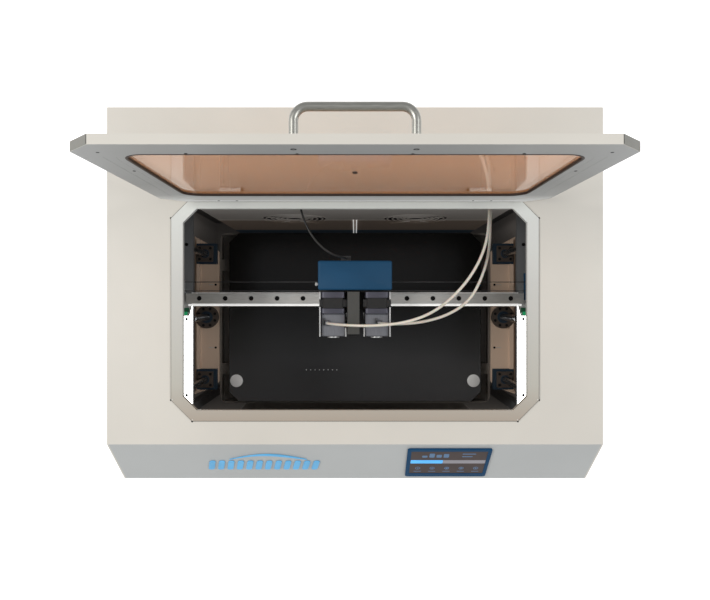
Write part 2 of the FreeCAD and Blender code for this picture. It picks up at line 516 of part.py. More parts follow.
def head():
    block = box(-29, 29, RAIL_Y - 16, RAIL_Y + 16, 455, 468)
    block = block.cut(box(-40, 40, RAIL_Y - 7.5 - GAP, RAIL_Y + 7.5 + GAP, 450, 462 + GAP))
    plate = box(-52.5, 52.5, -16, 56, 468, 470)
    jaws = [box(-20, 20, 28.2, 34, 470, 482), box(-50, -30, 36, 54, 470, 482), box(30, 50, 36, 54, 470, 482)]
    column = fuse(box(-11, 6.5, -50, 12, 472, 512), box(-11, 6.5, -50, -17, 440, 472),
                  box(-11, 6.5, -14, 12, 470, 472))
    save("head_carriage", [block, plate, column] + jaws)

    shell = box(-HEAD_X, HEAD_X, 14.5, 57.2, 482, 518)
    edges = [e for e in shell.Edges if e.BoundBox.ZMin > 517 or abs(e.tangentAt(e.FirstParameter).z) > 0.9]
    shell = shell.makeFillet(3, edges).cut(box(-HEAD_X + 2, HEAD_X - 2, 16.5, 55.2, 480, 516))
    connector = box(-21, -6, 57.2, 65, 486, 502)
    save("head_cover", [shell, connector])

    motors = []
    for x in (-MOTOR_X, MOTOR_X):
        body = motor(2 * MOTOR_R, 32, bore_depth=1.0)
        motors.append(moved(body, x, 12, HEAD_AXIS_Z, FreeCAD.Rotation(V(1, 0, 0), 90)))
    save("extruder_motors", motors)

    outline = [(50.5, -54, 432), (50.5, -54, 506), (50.5, 12, 506), (50.5, 12, 471), (50.5, -17, 471),
               (50.5, -20, 432)]
    outer = prism(outline, (2, 0, 0))
    inner = prism([(12.5, -54, 432), (12.5, -54, 504), (12.5, -41, 504), (12.5, -31, 470), (12.5, -20, 455),
                   (12.5, -20, 432)], (2, 0, 0))
    blocks = []
    for x in (-MOTOR_X, MOTOR_X):
        block = box(x - 16.5, x + 16.5, -54, -20, 466, 500)
        blocks.append(block.cut(rod(x, -30, HEAD_AXIS_Z, 6, 9, (0, 1, 0))))
    inlets = [fuse(rod(x, -34.0, 500, 5.2, 3), rod(x, -34.0, 503, 4.2, 2)) for x in (-40.5, 36.1)]
    save("feeders", both(outer) + both(inner) + blocks + inlets)

    hotends = []
    for x in (-MOTOR_X, MOTOR_X):
        fins = [rod(x, -38, 431.2 + 5.2 * i, 11, 3) for i in range(7)]
        core = rod(x, -38, 420, 4, 46)
        heater = box(x - 8, x + 8, -50, -26, 410, 421)
        nozzle = Part.makeCone(1.2, 3.5, 5, V(x, -38, 402))
        neck = rod(x, -38, 407, 3.5, 4)
        hotends.append(fuse(core, heater, neck, nozzle, *fins))
    save("hotends", hotends)


def bed():
    plate = octagon(BED_X, BED_FRONT, BED_BACK, BED_CHAMFER, BED_TOP - 6, BED_TOP)
    discs = [rod(x, -141.0, BED_TOP, 11, 1.2) for x in (-207.0, 207.0)]
    save("bed_plate", [plate] + discs)
    (y0, y1), (low, high) = TRAY_Y, TRAY_Z
    floor = low + TRAY_T
    tray = box(-TRAY_X, TRAY_X, y0, y1, low, high)
    corners = [e for e in tray.Edges if abs(e.tangentAt(e.FirstParameter).z) > 0.9]
    inside = box(-TRAY_X + TRAY_T, TRAY_X - TRAY_T, y0 + TRAY_T, y1 - TRAY_T, floor, high + 4)
    tray = tray.makeFillet(14, corners).cut(inside)
    bearer_ys = (SCREW_Y - 92, SCREW_Y + 92)
    bearers = [box(-TRAY_X + TRAY_T, TRAY_X - TRAY_T, y - 10, y + 10, floor, high) for y in bearer_ys]
    screws = [fuse(rod(x, y, high, 6, 6), rod(x, y, high, 2, 9)) for x in (-190.0, 190.0) for y in bearer_ys]
    heater = box(-BED_X + 10, BED_X - 10, BED_FRONT + 17, BED_BACK - 17, high + 9, BED_TOP - 6)
    save("bed_tray", [tray, heater] + bearers + screws)

    rod_y1, rod_y0 = ROD_YS
    outline = [(TRAY_X, rod_y0 - 5), (252, rod_y0 - 17), (260, rod_y0 - 19), (283, rod_y0 - 27),
               (283, rod_y1 + 31), (260, rod_y1 + 18.5), (252, rod_y1 + 16), (TRAY_X, rod_y1 + 4)]
    bracket = prism([(x, y, high) for x, y in outline], (0, 0, BRACKET_TOP - high))
    lip = box(TRAY_X, TRAY_X + 3, rod_y0 - 1, rod_y1, low + 2, high)
    wall = box(272, 278, rod_y0 - 21, rod_y1 + 25, BRACKET_TOP, BLOCK_TOP)
    block_at = [box(*BLOCK_X, y - BLOCK_HALF, y + BLOCK_HALF, BRACKET_TOP, BLOCK_TOP) for y in ROD_YS]
    flange_at = rod(SCREW_X, SCREW_Y, BRACKET_TOP, NUT_FLANGE + 0.5, BLOCK_TOP)
    wall = wall.cut(Part.Compound(block_at + [flange_at]))
    holes = [rod(ROD_X, y, low, BUSH_R + 0.2, 40) for y in ROD_YS]
    holes.append(rod(SCREW_X, SCREW_Y, low, NUT_R + 0.2, 40))
    save("bed_brackets", both(fuse(bracket, wall, lip).cut(Part.Compound(holes))))

    slides = []
    for y, block in zip(ROD_YS, block_at):
        block = block.cut(rod(ROD_X, y, BRACKET_TOP - 2, BUSH_R, 20))
        flange = box(ROD_X - 14, ROD_X + 14, y - 14, y + 14, BLOCK_TOP, BED_TOP)
        bearing = fuse(rod(ROD_X, y, BLOCK_TOP - 43, BUSH_R, 43), flange)
        slides += both(block) + both(bearing.cut(rod(ROD_X, y, low - 20, GUIDE_R + GAP, 60)))
    for x in (-SCREW_X, SCREW_X):
        nut = fuse(rod(x, SCREW_Y, BRACKET_TOP - 25, NUT_R, 25),
                   rod(x, SCREW_Y, BRACKET_TOP, NUT_FLANGE, BLOCK_TOP - BRACKET_TOP))
        slides.append(nut.cut(rod(x, SCREW_Y, low - 20, SCREW_R + GAP, 60)))
    save("bed_slides", slides)


def z_guides():
    height = PLATE_TOP - PLATE_T - FLOOR_Z
    rods = [rod(x, y, FLOOR_Z, GUIDE_R, height) for x in (-ROD_X, ROD_X) for y in ROD_YS]
    bearings = []
    for x in (-SCREW_X, SCREW_X):
        block = box(x - 17, x + 17, SCREW_Y - 17, SCREW_Y + 17, FLOOR_Z, FLOOR_Z + 18)
        bearings.append(block.cut(rod(x, SCREW_Y, 30, SCREW_R + GAP, 60)))
    save("z_guides", rods + bearings)
    wheel = pulley(9.85, 12.5, 9.4, 5, 0, 0)
    for name, x in (("ball_screw_left", -SCREW_X), ("ball_screw_right", SCREW_X)):
        save(name, fuse(moved(wheel, x, SCREW_Y, 22.3), rod(x, SCREW_Y, 22.3, SCREW_R, 402)))
    save("z_drive_pulley", fuse(moved(wheel, *Z_MOTOR, 22.3), rod(*Z_MOTOR, 22.3, 2.5, 31)))


def lid():
    y0, y1 = LID_FACE_Y, LID_FACE_Y + LID_T
    half, low, high, cut = LID_W / 2, LID_BOTTOM, LID_TOP, LID_CHAMFER
    points = [(-half + cut, y0, low), (half - cut, y0, low), (half, y0, low + cut),
              (half, y0, high - cut), (half - cut, y0, high), (-half + cut, y0, high),
              (-half, y0, high - cut), (-half, y0, low + cut)]
    panel = prism(points, (0, LID_T, 0))
    window = upright(-WINDOW_X, WINDOW_X, *WINDOW_Z, y0 - 1, y1 + 1, WINDOW_R)
    inset, middle = 20.0, (low + high) / 2
    shrunk = [(x * (half - inset) / half, y0, middle + (z - middle) * (1 - 2 * inset / (high - low)))
              for x, y, z in points]
    pocket = prism(shrunk, (0, LINING, 0))
    knuckle_gap = [box(x - 19, x + 19, y0 - 1, y1 + 1, low - 5, low + 5) for x in (-HINGE_X, HINGE_X)]
    rebate = upright(-REBATE_X, REBATE_X, *REBATE_Z, y0 + PANE_BACK, y1 + 1, WINDOW_R)
    frame = panel.cut(Part.Compound([window, pocket] + knuckle_gap)).cut(rebate)
    for sign in (-1, 1):
        x0 = 163.0 if sign > 0 else -179.0
        leaf = fuse(rod(x0, LID_AXIS_Y, LID_AXIS_Z, 3.0, 16, (1, 0, 0)),
                    box(x0, x0 + 16, LID_AXIS_Y - 1.5, LID_AXIS_Y + 1, LID_AXIS_Z, low + 6))
        frame = frame.fuse(leaf.cut(rod(x0 - 1, LID_AXIS_Y, LID_AXIS_Z, 1.9, 18, (1, 0, 0))))
    bores = [rod(x0, LID_AXIS_Y, LID_AXIS_Z, 1.9, 18, (1, 0, 0)) for x0 in (162, -180)]
    frame = frame.cut(Part.Compound(bores))
    save("lid_frame", frame.removeSplitter())
    lip_x, lip_z, lip_r = WINDOW_X + LIP, (WINDOW_Z[0] - LIP, WINDOW_Z[1] + LIP), WINDOW_R + LIP
    sheet = pocket.cut(upright(-lip_x, lip_x, *lip_z, y0 - 1, y1, lip_r))
    sheet = sheet.cut(Part.Compound([box(x - 19, x + 19, y0 - 1, y1, low - 5, low + 10)
                                     for x in (-HINGE_X, HINGE_X)]))
    ring_face = upright(-lip_x, lip_x, *lip_z, y0, y0 + LINING, lip_r)
    save("lid_inner_sheet", sheet)
    inner = upright(-WINDOW_X + GASKET, WINDOW_X - GASKET, WINDOW_Z[0] + GASKET, WINDOW_Z[1] - GASKET,
                    y0 - 1, y1 + 1, WINDOW_R - GASKET)
    tube_part = upright(-WINDOW_X, WINDOW_X, *WINDOW_Z, y0 + 0.5, y0 + PANE_BACK, WINDOW_R)
    lip = ring_face.cut(upright(-WINDOW_X, WINDOW_X, *WINDOW_Z, y0 - 1, y1, WINDOW_R))
    gasket = fuse(tube_part.cut(inner), lip)
    pane = inner.common(box(-300, 300, y0 + 2.5, y0 + PANE_BACK, low, high))
    port = rod(0, y0 + 1.5, WINDOW_Z[0] + 128, 2.5, 1, (0, 1, 0))
    save("lid_window", [pane, gasket, port])
    handle = moved(u_handle(2 * HANDLE_X, HANDLE_OUT, HANDLE_BEND), 0, y1, LID_TOP - 16)
    save("lid_handle", handle)

    fixed = []
    for sign in (-1, 1):
        x0 = 146.0 if sign > 0 else -162.5
        leaf_x, barrel_x, nub_x = (146.0, 147.7, 144.4) if sign > 0 else (-178.0, -176.5, -148.0)
        leaf = box(leaf_x, leaf_x + 32, *LEAF_Y, BODY_H, BODY_H + 1.5)
        web = box(x0, x0 + 16.5, LEAF_Y[0], LEAF_Y[0] + 3, BODY_H, LID_AXIS_Z)
        knuckle = rod(x0, LID_AXIS_Y, LID_AXIS_Z, 3.0, 16.5, (1, 0, 0))
        barrel = fuse(rod(barrel_x, BARREL_Y, BARREL_Z, 3.0, 28.8, (1, 0, 0)),
                      rod(nub_x, BARREL_Y, BARREL_Z, 1.8, 3.6, (1, 0, 0)))
        pin_x = 144.0 if sign > 0 else -179.0
        pin = rod(pin_x, LID_AXIS_Y, LID_AXIS_Z, 1.5, 35, (1, 0, 0))
        fixed.append(fuse(leaf, web, knuckle, barrel, pin))
    door_x, door_y = DOOR_AXIS
    for z in DOOR_HINGES:
        leaf = box(door_x - 16, door_x + 2, FRONT_Y - 2, FRONT_Y, z, z + 15)
        web = box(door_x - 2, door_x + 2, door_y, FRONT_Y, z, z + 15)
        fixed.append(fuse(leaf, web, rod(door_x, door_y, z, 3.5, 15), rod(door_x, door_y, z, 1.6, 31)))
    save("hinge_leaves", fixed)


def door():
    y0, y1 = DOOR_Y, DOOR_Y + DOOR_T
    panel = upright(*DOOR_X, *DOOR_Z, y0, y1, 12)
    half, (low, high) = DOOR_WINDOW_X, DOOR_WINDOW_Z
    frame = panel.cut(upright(-half, half, low, high, y0 - 1, y1 + 1, WINDOW_R))
    door_x, door_y = DOOR_AXIS
    for z in [hinge_z + 15.5 for hinge_z in DOOR_HINGES]:
        web = box(door_x + 1, DOOR_X[0] + 1, door_y - 3, door_y + 3, z, z + 15)
        knuckle = fuse(rod(door_x, door_y, z, 3.5, 15), web)
        frame = frame.fuse(knuckle).cut(rod(door_x, door_y, z - 1, 2.0, 17))
    save("door_frame", frame.removeSplitter())
    inner = upright(-half + GASKET, half - GASKET, low + GASKET, high - GASKET, y0 - 1, y1 + 1,
                    WINDOW_R - GASKET)
    seal = upright(-half, half, low, high, y0 + 1, y1, WINDOW_R).cut(inner)
    save("door_window", [inner.common(box(-300, 300, y0 + 2, y0 + 5, 0, 500)), seal])
    handle = u_handle(2 * HANDLE_X, HANDLE_OUT, HANDLE_BEND)
    handle = moved(handle, 0, 0, 0, FreeCAD.Rotation(V(0, 0, 1), 180))
    handle = moved(handle, 0, 0, 0, FreeCAD.Rotation(V(0, 1, 0), 90))
    save("door_handle", moved(handle, DOOR_GRIP_X, y0, DOOR_GRIP_Z))


def head_lines():
    """Two filament tubes and the head's cable, each along its own route to the head."""
    route_a = [(186, 220, 552), (186.5, 168, 553), (187, 114, 554), (181, 75, 560), (163, 38, 566),
               (136, 5.5, 570), (104, -19, 570), (66, -32, 567), (22, -36, 559), (-10, -35.5, 547),
               (-31, -34.5, 531), (-40, -34, 516), (-40.5, -34, 505.3)]
    route_b = [(195, 220, 538), (194.5, 168, 539), (191, 112, 541), (188.5, 70, 548), (177, 33, 556),
               (159, -1, 559), (129, -21, 557), (95, -31, 550), (66, -34, 539), (46, -34.5, 525),
               (37, -34, 513), (36.1, -34, 505.4)]
    cable = [(-84, 217, 545), (-83, 172, 548), (-77, 130, 550), (-67, 100, 553), (-51, 77, 553),
             (-33, 64, 545), (-18, 61, 532), (-13.5, 61, 517), (-13, 61, 502.2)]
    tubes = [tube(route_a, FEED_R), tube(route_b, FEED_R)]
    wire = tube(cable, CABLE_R)
    right = box(SPLIT_X, 400, -200, 300, 400, 700)
    rear = box(-300, 300, SPLIT_Y, 300, 400, 700)
    save("head_lines_rear", [t.common(right) for t in tubes] + [wire.common(rear)])
    save("head_lines_front", [t.cut(right) for t in tubes] + [wire.cut(rear)])


cabinet()
console_pieces()
corner_posts = chamber()
electronics()
y_guides(corner_posts)
gantry()
head()
bed()
z_guides()
lid()
door()
head_lines()
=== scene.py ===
import bpy
import bmesh
import math
from mathutils import Matrix, Vector


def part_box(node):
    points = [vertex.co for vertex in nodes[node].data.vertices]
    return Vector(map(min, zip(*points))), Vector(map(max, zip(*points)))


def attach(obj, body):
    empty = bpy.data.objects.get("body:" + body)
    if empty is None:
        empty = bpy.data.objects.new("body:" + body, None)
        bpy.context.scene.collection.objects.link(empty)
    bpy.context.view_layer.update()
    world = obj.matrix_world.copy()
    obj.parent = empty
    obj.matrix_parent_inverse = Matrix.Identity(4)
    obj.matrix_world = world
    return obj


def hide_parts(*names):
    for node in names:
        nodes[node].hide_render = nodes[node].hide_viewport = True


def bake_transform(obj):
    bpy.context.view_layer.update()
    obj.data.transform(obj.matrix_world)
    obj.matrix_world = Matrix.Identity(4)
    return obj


# Looks of the enclosed desktop printer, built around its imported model.
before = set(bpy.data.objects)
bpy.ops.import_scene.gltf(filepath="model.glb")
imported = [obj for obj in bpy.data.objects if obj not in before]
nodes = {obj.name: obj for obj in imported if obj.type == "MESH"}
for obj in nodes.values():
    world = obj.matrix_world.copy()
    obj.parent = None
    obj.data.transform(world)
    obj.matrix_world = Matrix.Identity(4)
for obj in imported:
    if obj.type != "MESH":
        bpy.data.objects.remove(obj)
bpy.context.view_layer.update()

# The machine's own coordinates are in millimetres, with the middle of the X rail at RAIL_Y.
rail_low, rail_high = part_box("x_rail")
MM = 0.001
RAIL_Y = 2.5
SHIFT_Y = (rail_low[1] + rail_high[1]) / 2 - RAIL_Y * MM
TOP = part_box("top_panel")[1][2] / MM
RIM_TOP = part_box("opening_rim")[1][2] / MM
FAN_X, FAN_Z = 107.0, 318.0  # middles of the two fans
ROD_X, ROD_BORE = 262, 5.4  # guide rods of the bed, and the holes round them
SCREW_X, SCREW_Y, SCREW_BORE = 260, -30, 6.4  # ball screws, and the holes in their nuts
BARREL_Y, BARREL_Z = 142.4, TOP + 4.2  # friction barrels of the lid's hinges
FEEDER_X = 32.2  # middles of the two feeders and hot ends
HANDLE_X = 51.5  # half the span of the handles' feet
HANDLE_FOOT = ((7.4, 0), (7.4, 1.2), (6.2, 2.0), (4.0, 2.2))  # radius, height


def at(x, y, z):
    """A point of the machine's own coordinates, in the row frame in metres."""
    return Vector((x * MM, y * MM + SHIFT_Y, z * MM))


def limits(node):
    """A CAD node's box in the machine's own millimetres: x0, x1, y0, y1, z0, z1."""
    low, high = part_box(node)
    return (low[0] / MM, high[0] / MM, (low[1] - SHIFT_Y) / MM, (high[1] - SHIFT_Y) / MM,
            low[2] / MM, high[2] / MM)


# ---- materials ----
class Look:
    """A node material under construction, with one Principled shader."""

    def __init__(self, name, rough=0.5, metal=0.0, **sockets):
        self.material = bpy.data.materials.new(name)
        self.material.use_nodes = True
        self.nodes = self.material.node_tree.nodes
        self.links = self.material.node_tree.links
        self.shader = self.nodes["Principled BSDF"]
        self.shader.inputs["Roughness"].default_value = rough
        self.shader.inputs["Metallic"].default_value = metal
        for socket, value in sockets.items():
            self.shader.inputs[socket.replace("_", " ")].default_value = value
        self.where = self.nodes.new("ShaderNodeTexCoord").outputs["Object"]

    def node(self, kind, inputs=None, **settings):
        made = self.nodes.new("ShaderNode" + kind)
        for key, value in settings.items():
            setattr(made, key, value)
        for key, value in (inputs or {}).items():
            if isinstance(value, bpy.types.NodeSocket):
                self.links.new(value, made.inputs[key])
            else:
                made.inputs[key].default_value = value
        return made

    def noise(self, scale, detail=3.0, stretch=(1, 1, 1)):
        spread = self.node("Mapping", {"Vector": self.where, "Scale": stretch}).outputs[0]
        made = self.node("TexNoise", {"Vector": spread, "Scale": scale, "Detail": detail})
        return made.outputs[0]

    def ramp(self, factor, first, second, low=0.35, high=0.65):
        made = self.node("ValToRGB", {"Fac": factor})
        ends = made.color_ramp.elements
        ends[0].position, ends[1].position = low, high
        ends[0].color, ends[1].color = (*first, 1), (*second, 1)
        return made.outputs[0]

    def colour(self, socket):
        self.links.new(socket, self.shader.inputs["Base Color"])
        return self

    def rough(self, factor, low, high):
        made = self.node("MapRange", {"Value": factor, "To Min": low, "To Max": high})
        self.links.new(made.outputs[0], self.shader.inputs["Roughness"])
        return self

    def bump(self, height, depth, strength=1.0):
        made = self.node("Bump", {"Height": height, "Distance": depth, "Strength": strength})
        self.links.new(made.outputs[0], self.shader.inputs["Normal"])
        return self


def shade(colour, amount):
    """A colour made lighter or darker."""
    return tuple(max(0.0, c * amount) for c in colour)


def painted(name, colour, rough=0.45):
    """Powder coat: a fine orange peel, slight blotches and a soft sheen."""
    look = Look(name, rough, Coat_Weight=0.12, Coat_Roughness=0.3)
    look.colour(look.ramp(look.noise(6.0), shade(colour, 0.965), shade(colour, 1.02)))
    look.rough(look.noise(40.0), rough - 0.06, rough + 0.08)
    look.bump(look.noise(1500.0, 2.0), 0.00004)
    return look.material


def brushed(name, colour, rough=0.3, along=(1, 40, 40), metal=1.0):
    """Metal with fine streaks along one axis."""
    look = Look(name, rough, metal)
    streaks = look.noise(90.0, 4.0, along)
    look.colour(look.ramp(streaks, shade(colour, 0.82), shade(colour, 1.08)))
    look.rough(streaks, rough - 0.08, rough + 0.12)
    look.bump(streaks, 0.00002, 0.6)
    return look.material


def moulded(name, colour, rough=0.42, grain=0.00003, **sockets):
    """Moulded plastic or rubber with a spark-eroded grain."""
    look = Look(name, rough, **sockets)
    look.colour(look.ramp(look.noise(14.0), shade(colour, 0.9), shade(colour, 1.06)))
    look.rough(look.noise(60.0), rough - 0.05, rough + 0.08)
    look.bump(look.noise(2600.0, 2.0), grain)
    return look.material


def banded(name, colours, axis, pitch):
    """Fine repeated ridges along one axis: laminations or belt teeth."""
    look = Look(name)
    split = look.node("SeparateXYZ", {"Vector": look.where})
    phase = look.node("Math", {0: split.outputs[axis], 1: 2 * math.pi / pitch}, operation="MULTIPLY")
    wave = look.node("Math", {0: phase.outputs[0]}, operation="SINE")
    height = look.node("MapRange", {"Value": wave.outputs[0], "From Min": -1.0, "From Max": 1.0})
    # the grooves take the darker first colour: dark joints between laminations, painted shade between belt
    # teeth
    look.colour(look.ramp(height.outputs[0], *colours, 0.3, 0.7))
    look.rough(look.noise(50.0), 0.45, 0.6)
    look.bump(height.outputs[0], 0.0002)
    return look.material


def threaded(name, colour, centre, pitch):
    """A ball screw's rolled groove, as a helix about an upright axis."""
    look = Look(name, 0.22, 1.0)
    local = look.node("VectorMath", {0: look.where, 1: centre}, operation="SUBTRACT")
    split = look.node("SeparateXYZ", {"Vector": local.outputs[0]})
    angle = look.node("Math", {0: split.outputs["Y"], 1: split.outputs["X"]}, operation="ARCTAN2")
    rise = look.node("Math", {0: split.outputs["Z"], 1: 2 * math.pi / pitch}, operation="MULTIPLY")
    turn = look.node("Math", {0: rise.outputs[0], 1: angle.outputs[0]}, operation="SUBTRACT")
    wave = look.node("Math", {0: turn.outputs[0]}, operation="SINE")
    height = look.node("MapRange", {"Value": wave.outputs[0], "From Min": -1.0, "From Max": 0.3})
    # the groove is painted darker: painted shade
    look.colour(look.ramp(height.outputs[0], shade(colour, 0.3), colour, 0.1, 0.6))
    look.bump(height.outputs[0], 0.0012)
    return look.material


def glowing(name, colour, strength):
    """A surface that gives light of its own: real for the lamps and the screen, painted light on the other
    parts.
    """
    look = Look(name, 0.5, Emission_Color=(*colour, 1), Emission_Strength=strength,
                Specular_IOR_Level=0.1)
    look.colour(look.ramp(look.noise(30.0), shade(colour, 0.85), colour))
    return look.material


def tinted(name, colour, alpha):
    """A see-through pane."""
    look = Look(name, 0.06, Alpha=alpha, Coat_Weight=0.6, Coat_Roughness=0.03)
    look.colour(look.ramp(look.noise(3.0), shade(colour, 0.9), shade(colour, 1.05)))
    look.rough(look.noise(20.0), 0.04, 0.1)
    return look.material


def stepped(name, colours, levels, axis="Z", rough=0.55, glow=0.0):
    """Colour that changes along one axis, as painted light and shade; glow stands in for light caught inside.
    """
    look = Look(name, rough, Specular_IOR_Level=0.35)
    split = look.node("SeparateXYZ", {"Vector": look.where})
    ends = {"From Min": levels[0], "From Max": levels[-1]}
    span = look.node("MapRange", {"Value": split.outputs[axis], **ends})
    made = look.node("ValToRGB", {"Fac": span.outputs[0]})
    ramp = made.color_ramp
    while len(ramp.elements) < len(levels):
        ramp.elements.new(0.5)
    for element, level, colour in zip(ramp.elements, levels, colours):
        element.position = (level - levels[0]) / (levels[-1] - levels[0])
        element.color = (*colour, 1)
    look.colour(made.outputs[0])
    look.links.new(made.outputs[0], look.shader.inputs["Emission Color"])
    look.shader.inputs["Emission Strength"].default_value = glow
    look.bump(look.noise(900.0, 2.0), 0.00004)
    return look.material


OFF_WHITE = (0.63, 0.60, 0.54)
M = {
    "body": painted("body_coat", OFF_WHITE),
    "console": painted("console_coat", (0.445, 0.458, 0.45)),
    "liner": painted("liner_coat", (0.26, 0.235, 0.21), 0.55),
    "dark": painted("dark_coat", (0.022, 0.021, 0.02), 0.5),
    "navy": painted("navy_coat", (0.006, 0.022, 0.040), 0.5),
    # painted shade: the flanges are the brackets' tan, darkened as if in shadow
    "flange": brushed("flange_tan_painted_shade", (0.085, 0.065, 0.052), 0.45, (40, 1, 40), 0.3),
    "tray": painted("tray_coat", (0.13, 0.115, 0.10), 0.5),
    # painted highlight: the beam's edge and the sensor lead glow with the lamp bars' glare
    "painted_glare": glowing("painted_glare", (0.95, 0.95, 0.93), 0.45),
    "tan": painted("tan_anodise", (0.60, 0.45, 0.34), 0.42),
    "steel": brushed("steel_x", (0.42, 0.41, 0.39), 0.32),
    "steel_y": brushed("steel_y", (0.42, 0.41, 0.39), 0.32, (40, 1, 40)),
    "steel_z": brushed("steel_z", (0.30, 0.31, 0.32), 0.25, (40, 40, 1)),
    "rail": brushed("rail_steel", (0.56, 0.555, 0.53), 0.42, (1, 40, 40), 0.75),
    "handle": brushed("handle_steel", (0.42, 0.415, 0.38), 0.38),
    "plate": brushed("plate_aluminium", (0.60, 0.605, 0.60), 0.4, (1, 40, 40), 0.6),
    "beam": brushed("beam_aluminium", (0.88, 0.88, 0.87), 0.4, (1, 40, 40), 0.0),
    "guide": painted("guide_grey", (0.15, 0.155, 0.16), 0.4),
    "block": brushed("block_metal", (0.20, 0.205, 0.225), 0.45, (40, 1, 40), 0.5),
    "cap": brushed("motor_cap", (0.07, 0.07, 0.092), 0.45, (1, 40, 40), 0.4),
    "stack": banded("motor_laminations", ((0.008, 0.008, 0.008), (0.02, 0.02, 0.02)), "Y", 0.0011),
    "column": moulded("column_plastic", (0.055, 0.055, 0.05), 0.6, 0.00006),
    "blue": moulded("blue_moulding", (0.010, 0.062, 0.135), 0.55, Specular_IOR_Level=0.2),
    "black": moulded("black_moulding", (0.014, 0.014, 0.015), 0.5),
    "screw": moulded("blackened_screw", (0.005, 0.005, 0.005), 0.6, Specular_IOR_Level=0.2),
    "rubber": moulded("foot_rubber", (0.012, 0.012, 0.012), 0.75, 0.00008),
    "gasket": moulded("window_gasket", (0.035, 0.020, 0.013), 0.6),
    "tube": moulded("tube_ivory", (0.74, 0.69, 0.60), 0.32, 0.00001, Subsurface_Weight=0.2,
                    Subsurface_Scale=0.002),
    "cable": moulded("cable_black", (0.02, 0.019, 0.018), 0.45),
    "belt_x": banded("belt_teeth_x", ((0.006, 0.006, 0.006), (0.03, 0.03, 0.03)), "X", 0.002),
    "belt_y": banded("belt_teeth_y", ((0.006, 0.006, 0.006), (0.03, 0.03, 0.03)), "Y", 0.002),
    "lamp": glowing("lamp_diffuser", (1.0, 1.0, 0.98), 6.0),
    "pane": tinted("tinted_pane", (0.92, 0.42, 0.16), 0.56),
    "door_pane": tinted("tinted_door_pane", (0.16, 0.075, 0.04), 0.78),
    "disc": moulded("disc_frosted", (0.80, 0.80, 0.79), 0.5),
    "bezel": moulded("bezel_blue", (0.008, 0.055, 0.13), 0.6, Specular_IOR_Level=0.12),
    "screen": moulded("screen_glass", (0.075, 0.055, 0.05), 0.12, 0.0, Coat_Weight=0.6, Coat_Roughness=0.05),
    "ui_blue": glowing("screen_blue", (0.10, 0.42, 0.85), 0.5),
    "ui_grey": glowing("screen_grey", (0.26, 0.25, 0.27), 0.25),
    "ui_dim": glowing("screen_dim_blue", (0.10, 0.17, 0.28), 0.3),
    "ui_dark": glowing("screen_dusk", (0.06, 0.046, 0.043), 0.3),
    "badge": moulded("badge_blue", (0.10, 0.44, 0.78), 0.3),
    # painted light: the green terminals glow a little, though they are not lamps
    "green": glowing("terminal_green_painted_glow", (0.03, 0.45, 0.18), 0.15),
    "white": moulded("white_nylon", (0.75, 0.75, 0.73), 0.4),
    # painted shade for the lid's chamfered corners
    "lid_chamfer_shade": painted("chamfer_painted_shade", (0.20, 0.195, 0.17), 0.5),
    # painted highlight: the hinge sleeves glow, standing in for the key light's glint
    "glinting_sleeve": glowing("sleeve_painted_glint", (0.90, 0.86, 0.80), 0.45),
    "brass": brushed("nozzle_brass", (0.62, 0.42, 0.16), 0.3, (40, 40, 1)),
    "board": moulded("circuit_board", (0.01, 0.09, 0.04), 0.4),
    "seam": painted("seam_shadow", (0.17, 0.155, 0.13), 0.7),
}
# painted light: the plate is lighter at the front, where the lamp bars light it, and fades to painted shade
# at the back
M["bed"] = stepped(
    "bed_glass", [(0.075, 0.075, 0.078), (0.030, 0.030, 0.031), (0.003, 0.003, 0.003), (0.001, 0.001, 0.001)],
    [at(0, -177, 0).y, at(0, -90, 0).y, at(0, 10, 0).y, at(0, 117, 0).y], "Y", 0.22)
# painted light: the lid's inner face is lighter low down, where light off the rim falls, darker higher up,
# and glows faintly
M["lid_inside"] = stepped(
    "lid_inside_painted_light", [(0.90, 0.905, 0.89), (0.40, 0.405, 0.40), (0.30, 0.305, 0.30)],
    [at(0, 0, TOP + 14).z, at(0, 0, TOP + 60).z, at(0, 0, TOP + 130).z], "Z", 0.5, 0.15)
# painted reflection: the flat rim is darker and warmer at the front and lighter and cooler at the back
M["rim"] = stepped(
    "rim_painted_reflection", [(0.40, 0.345, 0.285), (0.47, 0.455, 0.40), (0.55, 0.55, 0.52), (0.72, 0.735, 0.70)],
    [at(0, -157, 0).y, at(0, -110, 0).y, at(0, 20, 0).y, at(0, 133, 0).y], "Y", 0.45)
# the heater cover's tone changes with height: painted shade below the bed's level, lighter and darker bands
# above it, and a faint glow as painted bounce light
heater_low, heater_high = 146 * MM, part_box("heater_cover")[1][2]
M["heater"] = stepped(
    "heater_painted_shade",
    [(0.02, 0.04, 0.06), (0.025, 0.06, 0.09), (0.27, 0.21, 0.17), (0.32, 0.25, 0.20),
     (0.62, 0.57, 0.52), (0.44, 0.41, 0.375), (0.48, 0.45, 0.42), (0.60, 0.57, 0.54)],
    [0.10, heater_low - 4 * MM, heater_low + 2 * MM, 0.290, 0.302, 0.318, 0.376, heater_high],
    glow=0.07)
# painted shade: the chamber walls darken towards the bottom, and glow faintly as painted bounce light
M["walls"] = stepped(
    "chamber_painted_shade", [(0.16, 0.145, 0.135), (0.34, 0.31, 0.285), (0.42, 0.40, 0.38)], [0.05, 0.30, 0.60],
    glow=0.07)
SCREW_PITCH = 4 * MM
for side, centre_x in (("left", -SCREW_X), ("right", SCREW_X)):
    axis = at(centre_x, SCREW_Y, 0)
    M["screw_" + side] = threaded("ball_screw_" + side, (0.30, 0.31, 0.32), axis, SCREW_PITCH)

